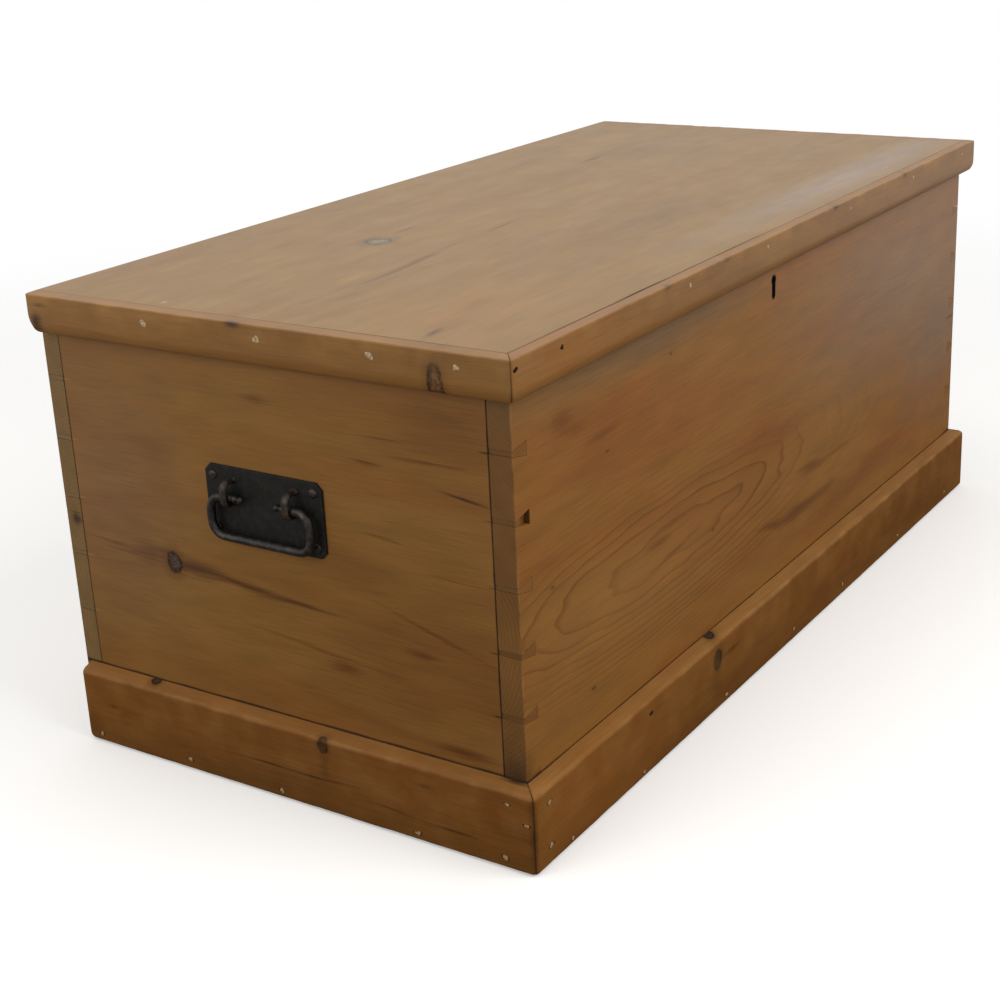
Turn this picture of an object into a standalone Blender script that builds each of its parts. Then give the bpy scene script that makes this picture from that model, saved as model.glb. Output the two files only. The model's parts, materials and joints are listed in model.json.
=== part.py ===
"""A dovetailed pine blanket chest on a plinth, with an edged lid, a box lock and iron drop handles.

Metres, +Z up. The front is towards -Y, the ends are at -X and +X, and the origin is on the floor, at the
centre of the ground that the chest covers.
"""
import math

import bmesh
import bpy
from mathutils import Matrix, Vector

# Clearances
FIT_GAP = 0.0003            # left between pieces that touch
CUT_PAST = 0.002            # a cutter runs this far past the face that it opens

# Overall sizes
CASE_LENGTH = 1.000
CASE_DEPTH = 0.500
HEIGHT = 0.440

# Carcase boards and their dovetails
FRONT_THICKNESS = 0.022
BACK_THICKNESS = 0.020
END_THICKNESS = 0.020
BACK_JOINT_HEIGHT = 0.230   # glued joint between the two boards of the back
PIN_TIP = 0.004             # width of a pin at the outside of the end
PIN_ROOT = 0.012            # width of a pin at the inside of the end
FIRST_PIN_DROP = 0.0605
PIN_PITCH = 0.0566
LAST_PIN_RISE = 0.030

# Bottom boards, which run from end to end
FLOOR_CLEARANCE = 0.006
BOTTOM_THICKNESS = 0.018
BOTTOM_BOARD_COUNT = 3
BOTTOM_SHRINKAGE = 0.0008

# Plinth
PLINTH_THICKNESS = 0.0147
PLINTH_HEIGHT = 0.077       # against the case
PLINTH_BEVEL = 0.006        # how far the top slopes down to the outside
PLINTH_ROUND = 0.005
PLINTH_SETBACK = 0.007      # the returns stop this far short of the back

# Lid
LID_THICKNESS = 0.0195
LID_GAP = 0.0005            # between the lid and the rim of the case
LID_REACH = 0.0006          # the lid boards stand past the case by this much
LID_SETBACK = 0.0015        # the lid's back edge lies inside the case's back
LID_FRONT_BOARD = 0.245
EDGING_HEIGHT = 0.036
EDGING_END_THICKNESS = 0.0145
EDGING_FRONT_THICKNESS = 0.0115
EDGING_ROUND = 0.0146       # height of the rounded lower edge
EDGING_FLAT = 0.002         # flat that is left underneath
EDGING_ARRIS = 0.0015

# Butt hinges
HINGE_LENGTH = 0.076
HINGE_INSET = 0.180         # from the end of the case to the middle of a hinge
HINGE_LEAF = 0.0025
HINGE_MARGIN = 0.002        # wood left inside of a leaf
KNUCKLE_RADIUS = 0.0045
KNUCKLE_GAP = 0.0004
HINGE_PIN_RADIUS = 0.002
HINGE_PIN_STANDS_OUT = 0.001
HINGE_SCREW_SPACING = 0.050
HINGE_SCREW_LENGTH = 0.014

# Countersunk wood screws
SCREW_RADIUS = 0.0018
SCREW_HEAD_RADIUS = 0.0037

# Box lock
LOCK_X = -0.030
LOCK_WIDTH = 0.090
LOCK_HEIGHT = 0.060
LOCK_PLATE = 0.002
SELVEDGE_DEPTH = 0.014
CAP_SIDE_MARGIN = 0.009
CAP_FOOT_MARGIN = 0.006
CAP_DEPTH = 0.0105
CAP_WALL = 0.0012
LOCK_SCREW_LENGTH = 0.010
LOCK_SCREW_INSET = 0.0045
LOCK_SCREW_DROPS = (0.015, 0.047)
KEY_PIN_RADIUS = 0.0016
BOLT_TRAVEL = 0.008
BOLT_CLEARANCE = 0.001      # from a finger's tip to its staple when the bolt is drawn back
BOLT_ARM = 0.005
BOLT_BAR_HEIGHT = 0.006
BOLT_BAR_DROP = 0.018       # from the rim of the case to the top of the bar
FINGER_PLAY = 0.0004
SPRING_THICKNESS = 0.0008
SPRING_WIDTH = 0.005
SPRING_RADIUS = 0.012

# Keyhole and its liner
KEYHOLE_DROP = 0.0305       # from the rim of the case to the centre of the round
KEYHOLE_RADIUS = 0.004
KEYHOLE_SLOT = 0.0055
KEYHOLE_TAIL = 0.018        # from the centre of the round to the foot of the slot
LINER_WALL = 0.0013
LINER_DEPTH = 0.004

# Link plate under the lid, with the two staples that the bolt catches
LINK_LENGTH = 0.070
LINK_WIDTH = 0.018
LINK_PLATE = 0.002
LINK_SCREW_INSET = 0.007
LINK_SCREW_LENGTH = 0.012
STAPLE_SPACING = 0.032
STAPLE_THICKNESS = 0.003
STAPLE_LEG = 0.0016
STAPLE_EYE_WIDTH = 0.0034
STAPLE_EYE_HEIGHT = 0.0052
STAPLE_FOOT = 0.0018
STAPLE_DROP = 0.013
STAPLE_PLAY = 0.0006

# Drop handles
HANDLE_SHIFT = 0.003        # from the middle of the end, towards the back
HANDLE_HEIGHT = 0.272       # floor to the middle of the plate
PLATE_WIDTH = 0.128
PLATE_HEIGHT = 0.068
PLATE_THICKNESS = 0.002
PLATE_CLIP = 0.006
PIVOT_RISE = 0.0083         # pivot above the middle of the plate
PIVOT_OUT = 0.0095          # pivot from the end of the case
EYE_SPACING = 0.068
EYE_BAR = 0.0042            # the loop's bar above and below its hole
EYE_CROWN = 0.0028          # the loop's bar at the outside
EYE_SLACK = 0.0074          # the hole goes up past the bail by this much
EYE_THICKNESS = 0.006
BAIL_RADIUS = 0.004
BAIL_PLAY = 0.0006
BAIL_WIDTH = 0.109          # between the middles of its sides
BAIL_DROP = 0.0365
BAIL_CORNER = 0.012
BAIL_TIP = 0.014            # stands inside its eye by this much
STUD_SPACING_Y = 0.110
STUD_SPACING_Z = 0.049
STUD_RADIUS = 0.0022
STUD_HEAD_RADIUS = 0.0048
STUD_HEAD_HEIGHT = 0.002
STUD_LENGTH = 0.014

# Facets
ARC_STEPS = 4
ROUND_SIDES = 16
SCREW_SIDES = 8
BAIL_BEVEL_RESOLUTION = 2
SMOOTH_ANGLE = math.radians(40)
WELD = 1e-6                 # points closer than this are one
EMPTY_SIZE = 0.02

# Places worked out from the sizes
PLINTH_REACH = FIT_GAP + PLINTH_THICKNESS
KNUCKLE_REACH = FIT_GAP + 2 * KNUCKLE_RADIUS
CASE_FRONT = PLINTH_REACH - (CASE_DEPTH + PLINTH_REACH + KNUCKLE_REACH) / 2
CASE_BACK = CASE_FRONT + CASE_DEPTH
CASE_MIDDLE = (CASE_FRONT + CASE_BACK) / 2
CASE_END = CASE_LENGTH / 2
CASE_FOOT = FLOOR_CLEARANCE + BOTTOM_THICKNESS + FIT_GAP
LID_UNDERSIDE = HEIGHT - LID_THICKNESS
CASE_TOP = LID_UNDERSIDE - LID_GAP
FRONT_INSIDE = CASE_FRONT + FRONT_THICKNESS
BACK_INSIDE = CASE_BACK - BACK_THICKNESS
LID_BACK = CASE_BACK - LID_SETBACK
EDGING_INSIDE = LID_REACH + FIT_GAP
HINGE_AXIS = Vector((0, CASE_BACK + FIT_GAP + KNUCKLE_RADIUS, CASE_TOP + LID_GAP / 2))
HINGE_CENTRES = {"left": HINGE_INSET - CASE_END, "right": CASE_END - HINGE_INSET}
LOCK_FACE = FRONT_INSIDE - LOCK_PLATE
CAP_INSIDE = LOCK_WIDTH / 2 - CAP_SIDE_MARGIN - CAP_WALL
STAPLE_WIDTH = STAPLE_EYE_WIDTH + 2 * STAPLE_LEG
STAPLE_Y = LOCK_FACE - STAPLE_PLAY - STAPLE_WIDTH / 2
STAPLE_XS = (LOCK_X - STAPLE_SPACING / 2, LOCK_X + STAPLE_SPACING / 2)
EYE_FOOT = LID_UNDERSIDE - STAPLE_DROP + STAPLE_FOOT
KEYHOLE_CENTRE = CASE_TOP - KEYHOLE_DROP
BOLT_BAR_TOP = CASE_TOP - BOLT_BAR_DROP
BOLT_BAR_FOOT = BOLT_BAR_TOP - BOLT_BAR_HEIGHT
PLATE_FACE = FIT_GAP + PLATE_THICKNESS

# Axes that an outline is drawn on: the first two are the outline's own, and it is thick along the third
ON_XZ = Matrix(((1, 0, 0, 0), (0, 0, -1, 0), (0, 1, 0, 0), (0, 0, 0, 1)))
ON_YZ = Matrix(((0, 0, 1, 0), (1, 0, 0, 0), (0, 1, 0, 0), (0, 0, 0, 1)))


def clear_scene():
    for old in list(bpy.data.objects):
        bpy.data.objects.remove(old, do_unlink=True)


def new_collection(name):
    collection = bpy.data.collections.new(name)
    bpy.context.scene.collection.children.link(collection)
    return collection


def linear(hex_colour):
    channels = [int(hex_colour[i:i + 2], 16) / 255 for i in (1, 3, 5)]
    return [c / 12.92 if c <= 0.04045 else ((c + 0.055) / 1.055) ** 2.4 for c in channels] + [1.0]


def finish(name, hex_colour, roughness, metallic=0.0):
    material = bpy.data.materials.new(name)
    material.use_nodes = True
    shader = material.node_tree.nodes["Principled BSDF"]
    shader.inputs["Base Color"].default_value = linear(hex_colour)
    shader.inputs["Roughness"].default_value = roughness
    shader.inputs["Metallic"].default_value = metallic
    return material


clear_scene()
CHEST = new_collection("blanket_chest")
CUTTERS = new_collection("cutters")
CASE_PINE = finish("waxed_pine_case", "#79542F", 0.45)
LID_PINE = finish("waxed_pine_lid", "#A58763", 0.40)
EDGING_PINE = finish("waxed_pine_edging", "#8C6238", 0.45)
PLINTH_PINE = finish("waxed_pine_plinth", "#66411F", 0.50)
BARE_PINE = finish("bare_pine", "#A98A5E", 0.75)
IRON = finish("blackened_iron", "#24221F", 0.55, 0.85)
BAIL_IRON = finish("rubbed_iron", "#4A4540", 0.45, 0.90)
STEEL = finish("dull_steel", "#8A8780", 0.40, 0.95)


def add_empty(name, location):
    empty = bpy.data.objects.new(name, None)
    empty.location = location
    empty.empty_display_size = EMPTY_SIZE
    CHEST.objects.link(empty)
    return empty


def add_part(name, mesh, material, parent=None, origin=None):
    """A sub-part whose mesh is given in world places; its origin is its own middle unless one is given."""
    if origin is None:
        corners = [vertex.co for vertex in mesh.vertices]
        low = Vector([min(corner[axis] for corner in corners) for axis in range(3)])
        high = Vector([max(corner[axis] for corner in corners) for axis in range(3)])
        origin = (low + high) / 2
    mesh.transform(Matrix.Translation(-Vector(origin)))
    mesh.materials.clear()
    mesh.materials.append(material)
    part = bpy.data.objects.new(name, mesh)
    part.location = Vector(origin)
    if parent is not None:
        part.parent = parent
        part.location -= parent.location
    CHEST.objects.link(part)
    return part


def add_cutter(name, mesh):
    cutter = bpy.data.objects.new(name, mesh)
    cutter.hide_render = True
    cutter.display_type = "WIRE"
    CUTTERS.objects.link(cutter)
    return cutter


def combine(part, tool, operation):
    modifier = part.modifiers.new(tool.name, "BOOLEAN")
    modifier.operation = operation
    modifier.solver = "EXACT"
    modifier.object = tool


def cut(part, *tools):
    for tool in tools:
        combine(part, tool, "DIFFERENCE")


def unite(part, *tools):
    for tool in tools:
        combine(part, tool, "UNION")


def smooth_round(part):
    part.data.shade_smooth()
    part.data.set_sharp_from_angle(angle=SMOOTH_ANGLE)


def mesh_of(solid):
    mesh = bpy.data.meshes.new("solid")
    solid.to_mesh(mesh)
    solid.free()
    return mesh


def box(low, high):
    low = Vector(low)
    high = Vector(high)
    solid = bmesh.new()
    place = Matrix.Translation((low + high) / 2) @ Matrix.Diagonal((*(high - low), 1))
    bmesh.ops.create_cube(solid, size=1, matrix=place)
    return mesh_of(solid)


def turned(profile, sides, place):
    """A profile of (radius, height), from the axis at the top to the axis at the foot, spun round +Z."""
    solid = bmesh.new()
    points = [solid.verts.new((radius, 0, height)) for radius, height in profile]
    edges = [solid.edges.new(pair) for pair in zip(points, points[1:])]
    bmesh.ops.spin(solid, geom=points + edges, cent=(0, 0, 0), axis=(0, 0, 1), angle=2 * math.pi,
                   steps=sides, use_merge=True)
    bmesh.ops.remove_doubles(solid, verts=solid.verts, dist=WELD)
    bmesh.ops.recalc_face_normals(solid, faces=solid.faces)
    bmesh.ops.transform(solid, matrix=place, verts=solid.verts)
    return mesh_of(solid)


def rod(radius, low, high, sides=ROUND_SIDES):
    """A round bar between two places."""
    low = Vector(low)
    high = Vector(high)
    run = high - low
    solid = bmesh.new()
    place = Matrix.Translation((low + high) / 2) @ run.to_track_quat("Z", "Y").to_matrix().to_4x4()
    bmesh.ops.create_cone(solid, cap_ends=True, segments=sides, radius1=radius, radius2=radius,
                          depth=run.length, matrix=place)
    return mesh_of(solid)


def group(meshes):
    """Several separate solids as one mesh."""
    solid = bmesh.new()
    for mesh in meshes:
        solid.from_mesh(mesh)
    return mesh_of(solid)


def mesh_from_curve(curve):
    """The welded mesh of a curve, which is then removed."""
    holder = bpy.data.objects.new("outline", curve)
    bpy.context.scene.collection.objects.link(holder)
    evaluated = holder.evaluated_get(bpy.context.evaluated_depsgraph_get())
    mesh = bpy.data.meshes.new_from_object(evaluated)
    bpy.data.objects.remove(holder, do_unlink=True)
    bpy.data.curves.remove(curve)
    solid = bmesh.new()
    solid.from_mesh(mesh)
    bmesh.ops.remove_doubles(solid, verts=solid.verts, dist=WELD)
    bmesh.ops.recalc_face_normals(solid, faces=solid.faces)
    return mesh_of(solid)


def add_spline(curve, points, closed):
    spline = curve.splines.new("POLY")
    spline.points.add(len(points) - 1)
    for point, place in zip(spline.points, points):
        point.co = (*place, 1)
    spline.use_cyclic_u = closed


def plate(outlines, axes, low, high):
    """Flat outlines given thickness from low to high along the third of the axes."""
    curve = bpy.data.curves.new("outline", "CURVE")
    curve.dimensions = "2D"
    curve.fill_mode = "BOTH"
    curve.extrude = (high - low) / 2
    for outline in outlines:
        add_spline(curve, [(*point, 0) for point in outline], True)
    mesh = mesh_from_curve(curve)
    mesh.transform(axes @ Matrix.Translation((0, 0, (low + high) / 2)))
    return mesh


def arc(centre, radii, start, end, steps=ARC_STEPS):
    """Points on an arc of the two radii, angles in degrees."""
    angles = [math.radians(start + (end - start) * step / steps) for step in range(steps + 1)]
    return [(centre[0] + radii[0] * math.cos(a), centre[1] + radii[1] * math.sin(a)) for a in angles]


# Carcase

def pin_heights():
    """Middles of the dovetail pins, with a half pin at the rim and one at the foot."""
    first = CASE_TOP - FIRST_PIN_DROP
    count = int((first - CASE_FOOT - LAST_PIN_RISE) / PIN_PITCH) + 1
    return [CASE_TOP] + [first - PIN_PITCH * pin for pin in range(count)] + [CASE_FOOT]


def pin_half_width(depth):
    """Half the width of a pin at a depth in from the outside of the end."""
    return (PIN_TIP + (PIN_ROOT - PIN_TIP) * depth / END_THICKNESS) / 2


def pin_sockets(side):
    """Outlines of the gaps between the tails, at one end of the front or the back."""
    depths = (-CUT_PAST, END_THICKNESS + FIT_GAP)
    outlines = []
    for height in pin_heights():
        near, far = [pin_half_width(depth) + FIT_GAP for depth in depths]
        xs = [side * (CASE_END - depth) for depth in depths]
        outlines.append([(xs[0], height - near), (xs[1], height - far), (xs[1], height + far),
                         (xs[0], height + near)])
    return outlines


def tail_sockets(side):
    """Outlines of the gaps between the pins of one end."""
    depths = (-CUT_PAST, END_THICKNESS + CUT_PAST)
    heights = pin_heights()
    outlines = []
    for upper, lower in zip(heights, heights[1:]):
        near, far = [pin_half_width(depth) for depth in depths]
        xs = [side * (CASE_END - depth) for depth in depths]
        outlines.append([(xs[0], lower + near), (xs[1], lower + far), (xs[1], upper - far),
                         (xs[0], upper - near)])
    return outlines


def long_boards():
    """The front of one wide board and the back of two, with tails cut on both ends."""
    spans = {"front": (CASE_FRONT, FRONT_INSIDE), "back": (BACK_INSIDE, CASE_BACK)}
    levels = {"front_board": (CASE_FOOT, CASE_TOP),
              "back_lower_board": (CASE_FOOT, BACK_JOINT_HEIGHT - FIT_GAP / 2),
              "back_upper_board": (BACK_JOINT_HEIGHT + FIT_GAP / 2, CASE_TOP)}
    sockets = {}
    for face, (near, far) in spans.items():
        gaps = plate(pin_sockets(-1) + pin_sockets(1), ON_XZ, -far - CUT_PAST, -near + CUT_PAST)
        sockets[face] = add_cutter(face + "_pin_sockets", gaps)
    boards = {}
    for name, (foot, top) in levels.items():
        face = name.split("_")[0]
        near, far = spans[face]
        boards[name] = add_part(name, box((-CASE_END, near, foot), (CASE_END, far, top)), CASE_PINE)
        cut(boards[name], sockets[face])
    return boards


def end_boards():
    """The two ends, with pins left between the sockets for the tails."""
    boards = {}
    for name, side in (("left", -1), ("right", 1)):
        outer = side * CASE_END
        inner = side * (CASE_END - END_THICKNESS)
        solid = box((min(outer, inner), CASE_FRONT, CASE_FOOT), (max(outer, inner), CASE_BACK, CASE_TOP))
        boards[name] = add_part(name + "_end_board", solid, CASE_PINE)
        front = plate(tail_sockets(side), ON_XZ, -FRONT_INSIDE - FIT_GAP, -CASE_FRONT + CUT_PAST)
        back = plate(tail_sockets(side), ON_XZ, -CASE_BACK - CUT_PAST, -BACK_INSIDE + FIT_GAP)
        cut(boards[name], add_cutter(name + "_front_tail_sockets", front))
        cut(boards[name], add_cutter(name + "_back_tail_sockets", back))
    return boards


def bottom_boards():
    """Boards nailed up against the foot of the carcase, with a little shrinkage between them."""
    width = CASE_DEPTH / BOTTOM_BOARD_COUNT
    for place in range(BOTTOM_BOARD_COUNT):
        front = CASE_FRONT + width * place + BOTTOM_SHRINKAGE / 2
        low = (-CASE_END, front, FLOOR_CLEARANCE)
        high = (CASE_END, front + width - BOTTOM_SHRINKAGE, FLOOR_CLEARANCE + BOTTOM_THICKNESS)
        add_part("bottom_board_" + str(place + 1), box(low, high), BARE_PINE)


# Strips that run round the front and the two ends

SIDES = {"front": (math.pi, -1, CASE_LENGTH, (0, CASE_FRONT, 0)),
         "left": (math.pi / 2, 1, CASE_DEPTH, (-CASE_END, CASE_MIDDLE, 0)),
         "right": (-math.pi / 2, -1, CASE_DEPTH, (CASE_END, CASE_MIDDLE, 0))}


def side_place(side):
    """Turns a strip that runs along X and faces +Y to its side of the case."""
    turn, _, _, middle = SIDES[side]
    return Matrix.Translation(middle) @ Matrix.Rotation(turn, 4, "Z")


def moulding(side, outline, inside, mitres, setback):
    """A strip of an outline of (outward, height). A mitre runs out by its slope; a plain end is set back."""
    _, direction, run, _ = SIDES[side]
    reach = run / 2 + inside - FIT_GAP / 2
    starts_at_front = direction > 0
    square_end = run / 2 - setback
    if side == "front":
        start, end = -reach, reach
        slopes = (mitres, mitres)
    elif starts_at_front:
        start, end = -reach, square_end
        slopes = (mitres, 0)
    else:
        start, end = -square_end, reach
        slopes = (0, mitres)
    mesh = plate([outline], ON_YZ, start, end)
    middle = (start + end) / 2
    for vertex in mesh.vertices:
        outward = vertex.co.y - inside
        if vertex.co.x < middle:
            vertex.co.x -= outward * slopes[0]
        else:
            vertex.co.x += outward * slopes[1]
    mesh.transform(side_place(side))
    return mesh


def plinth_outline():
    """A board with its top sloped to the outside and the outer edge rounded over."""
    inner = FIT_GAP
    outer = FIT_GAP + PLINTH_THICKNESS
    shoulder = PLINTH_HEIGHT - PLINTH_BEVEL
    slope = PLINTH_BEVEL / PLINTH_THICKNESS
    start = Vector((outer, shoulder - PLINTH_ROUND))
    corner = Vector((outer, shoulder))
    end = Vector((outer - PLINTH_ROUND, shoulder + slope * PLINTH_ROUND))
    rounded = []
    for step in range(ARC_STEPS + 1):
        t = step / ARC_STEPS
        rounded.append(tuple(start * (1 - t) ** 2 + corner * 2 * t * (1 - t) + end * t ** 2))
    return [(inner, 0), (outer, 0)] + rounded + [(inner, PLINTH_HEIGHT)]


def plinth():
    """Front and two returns, mitred at the front corners."""
    for side in SIDES:
        strip = moulding(side, plinth_outline(), FIT_GAP, 1, PLINTH_SETBACK)
        add_part("plinth_" + side, strip, PLINTH_PINE)


def edging_outline(thickness):
    """A square face over a rounded lower edge, with a flat left underneath."""
    inner = EDGING_INSIDE
    outer = EDGING_INSIDE + thickness
    foot = HEIGHT - EDGING_HEIGHT
    radii = (thickness - EDGING_FLAT, EDGING_ROUND)
    rounded = arc((inner + EDGING_FLAT, foot + EDGING_ROUND), radii, -90, 0)
    top = [(outer, HEIGHT - EDGING_ARRIS), (outer - EDGING_ARRIS, HEIGHT), (inner, HEIGHT)]
    return [(inner, foot)] + rounded + top


def lid(hinge):
    """Two boards with an edging round the front and the ends."""
    reach = CASE_END + LID_REACH
    front = CASE_FRONT - LID_REACH
    joint = front + LID_FRONT_BOARD
    spans = {"front": (front, joint - FIT_GAP / 2), "back": (joint + FIT_GAP / 2, LID_BACK)}
    boards = {}
    for name, (near, far) in spans.items():
        solid = box((-reach, near, LID_UNDERSIDE), (reach, far, HEIGHT))
        boards[name] = add_part("lid_board_" + name, solid, LID_PINE, hinge)
    slopes = {"front": EDGING_END_THICKNESS / EDGING_FRONT_THICKNESS,
              "left": EDGING_FRONT_THICKNESS / EDGING_END_THICKNESS}
    slopes["right"] = slopes["left"]
    for side, slope in slopes.items():
        thickness = EDGING_FRONT_THICKNESS if side == "front" else EDGING_END_THICKNESS
        strip = moulding(side, edging_outline(thickness), EDGING_INSIDE, slope, LID_SETBACK)
        add_part("lid_edging_" + side, strip, EDGING_PINE, hinge)
    return boards


# Hardware

def screw(head, direction, length, play):
    """A countersunk screw from the middle of its head along a direction; play widens it into its hole."""
    drop = SCREW_HEAD_RADIUS - SCREW_RADIUS
    top = CUT_PAST if play else 0
    profile = [(0, top), (SCREW_HEAD_RADIUS + play, top), (SCREW_HEAD_RADIUS + play, -play / 2),
               (SCREW_RADIUS + play, -drop - play / 2), (SCREW_RADIUS + play, -length - play),
               (0, -length - play)]
    if not play:
        del profile[1]
    turn = Vector(direction).to_track_quat("-Z", "Y").to_matrix().to_4x4()
    return turned(profile, SCREW_SIDES, Matrix.Translation(head) @ turn)


def add_screws(name, heads, direction, length, held, parent=None):
    """A set of screws, with their holes cut through every piece that they hold."""
    holes = add_cutter(name + "_holes", group([screw(head, direction, length, FIT_GAP) for head in heads]))
    for piece in held:
        cut(piece, holes)
    for number, head in enumerate(heads, 1):
        smooth_round(add_part(name + "_" + str(number), screw(head, direction, length, 0), STEEL, parent))


def knuckle_spans(leaf):
    """The case leaf has the two outer knuckles, and the lid leaf the middle one."""
    length = HINGE_LENGTH / 3
    start = -HINGE_LENGTH / 2
    places = (0, 2) if leaf == "case" else (1,)
    gap = KNUCKLE_GAP / 2
    return [(start + length * n + gap, start + length * (n + 1) - gap) for n in places]


def hinge_leaf(side, leaf, parent):
    """A leaf let in flush, rolled round the pin at its knuckles."""
    centre = HINGE_CENTRES[side]
    name = side + "_hinge_" + leaf + "_leaf"
    foot = CASE_TOP - HINGE_LEAF if leaf == "case" else LID_UNDERSIDE
    top = foot + HINGE_LEAF
    inner = BACK_INSIDE + HINGE_MARGIN
    half = HINGE_LENGTH / 2
    solid = box((centre - half, inner, foot), (centre + half, CASE_BACK - FIT_GAP, top))
    part = add_part(name, solid, IRON, parent)
    for number, (start, end) in enumerate(knuckle_spans(leaf)):
        strap = box((centre + start, inner + HINGE_MARGIN, foot), (centre + end, HINGE_AXIS.y, top))
        barrel = rod(KNUCKLE_RADIUS, HINGE_AXIS + Vector((centre + start, 0, 0)),
                     HINGE_AXIS + Vector((centre + end, 0, 0)))
        unite(part, add_cutter(name + "_strap_" + str(number), strap))
        unite(part, add_cutter(name + "_barrel_" + str(number), barrel))
    reach = Vector((half + CUT_PAST, 0, 0))
    middle = HINGE_AXIS + Vector((centre, 0, 0))
    bore = rod(HINGE_PIN_RADIUS + FIT_GAP, middle - reach, middle + reach)
    cut(part, add_cutter(name + "_bore", bore))
    return part


def hinge_recess(side, leaf):
    """The bed for a leaf, open at the back and towards the other leaf."""
    centre = HINGE_CENTRES[side]
    half = HINGE_LENGTH / 2 + FIT_GAP
    foot, top = (CASE_TOP - HINGE_LEAF - FIT_GAP, CASE_TOP + CUT_PAST)
    if leaf == "lid":
        foot, top = (LID_UNDERSIDE - CUT_PAST, LID_UNDERSIDE + HINGE_LEAF + FIT_GAP)
    bed = box((centre - half, BACK_INSIDE + HINGE_MARGIN - FIT_GAP, foot),
              (centre + half, CASE_BACK + CUT_PAST, top))
    return add_cutter(side + "_hinge_" + leaf + "_bed", bed)


def hinges(back_board, lid_board, hinge):
    """Two butt hinges, with pins that stay in the case leaves."""
    leaves = {"case": [], "lid": []}
    for side, centre in HINGE_CENTRES.items():
        leaves["case"].append(hinge_leaf(side, "case", None))
        leaves["lid"].append(hinge_leaf(side, "lid", hinge))
        cut(back_board, hinge_recess(side, "case"))
        cut(lid_board, hinge_recess(side, "lid"))
        reach = Vector((HINGE_LENGTH / 2 + HINGE_PIN_STANDS_OUT, 0, 0))
        middle = HINGE_AXIS + Vector((centre, 0, 0))
        pin = rod(HINGE_PIN_RADIUS, middle - reach, middle + reach)
        smooth_round(add_part(side + "_hinge_pin", pin, STEEL))
    y = BACK_INSIDE + BACK_THICKNESS / 2
    xs = [centre + step * HINGE_SCREW_SPACING / 2 for centre in HINGE_CENTRES.values() for step in (-1, 1)]
    add_screws("hinge_case_screw", [(x, y, CASE_TOP) for x in xs], (0, 0, -1), HINGE_SCREW_LENGTH,
               [back_board] + leaves["case"])
    add_screws("hinge_lid_screw", [(x, y, LID_UNDERSIDE) for x in xs], (0, 0, 1), HINGE_SCREW_LENGTH,
               [lid_board] + leaves["lid"], hinge)


def keyhole_outline(grow):
    """A round over a straight slot with a round foot, in the plane of the front."""
    radius = KEYHOLE_RADIUS + grow
    half = KEYHOLE_SLOT / 2 + grow
    centre = (LOCK_X, KEYHOLE_CENTRE)
    meet = math.degrees(math.asin(half / radius))
    crown = arc(centre, (radius, radius), -90 + meet, 270 - meet, 3 * ARC_STEPS)
    foot = (LOCK_X, KEYHOLE_CENTRE - KEYHOLE_TAIL + KEYHOLE_SLOT / 2)
    return crown + arc(foot, (half, half), 180, 360)


def keyhole(front_board, cap):
    """The hole through the front and the lock's cap, with a thin liner let into the wood."""
    wood = plate([keyhole_outline(LINER_WALL + FIT_GAP)], ON_XZ, -LOCK_FACE, -CASE_FRONT + CUT_PAST)
    cut(front_board, add_cutter("keyhole_in_wood", wood))
    through_cap = plate([keyhole_outline(0)], ON_XZ, -LOCK_FACE + CAP_DEPTH / 2, -CASE_FRONT)
    cut(cap, add_cutter("keyhole_in_cap", through_cap))
    rings = [keyhole_outline(LINER_WALL), keyhole_outline(0)]
    liner = plate(rings, ON_XZ, -CASE_FRONT - LINER_DEPTH, -CASE_FRONT)
    add_part("keyhole_liner", liner, STEEL)


def lock_plate():
    """The plate on the inside of the front, its selvedge folded over the rim and slotted for the staples."""
    outer = FRONT_INSIDE - SELVEDGE_DEPTH
    under = CASE_TOP - LOCK_PLATE
    foot = CASE_TOP - LOCK_HEIGHT
    fold = [(outer, under), (LOCK_FACE, under), (LOCK_FACE, foot), (FRONT_INSIDE, foot),
            (FRONT_INSIDE, CASE_TOP), (outer, CASE_TOP)]
    solid = plate([fold], ON_YZ, LOCK_X - LOCK_WIDTH / 2, LOCK_X + LOCK_WIDTH / 2)
    part = add_part("lock_plate", solid, STEEL)
    half = Vector((STAPLE_THICKNESS / 2 + STAPLE_PLAY, (STAPLE_WIDTH + STAPLE_PLAY) / 2,
                   LOCK_PLATE + CUT_PAST))
    middles = [Vector((x, STAPLE_Y, CASE_TOP)) for x in STAPLE_XS]
    slots = group([box(middle - half, middle + half) for middle in middles])
    cut(part, add_cutter("staple_slots", slots))
    return part


def lock_cap():
    """A tray that closes the lock on the side of the keyhole, open to the plate and to the selvedge."""
    half = LOCK_WIDTH / 2 - CAP_SIDE_MARGIN
    front = LOCK_FACE - CAP_DEPTH
    foot = CASE_TOP - LOCK_HEIGHT + CAP_FOOT_MARGIN
    top = CASE_TOP - LOCK_PLATE - FIT_GAP
    tray = box((LOCK_X - half, front, foot), (LOCK_X + half, LOCK_FACE - FIT_GAP, top))
    part = add_part("lock_cap", tray, STEEL)
    hollow = box((LOCK_X - CAP_INSIDE, front + CAP_WALL, foot + CAP_WALL),
                 (LOCK_X + CAP_INSIDE, LOCK_FACE + CUT_PAST, top + CUT_PAST))
    cut(part, add_cutter("lock_cap_hollow", hollow))
    return part


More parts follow.
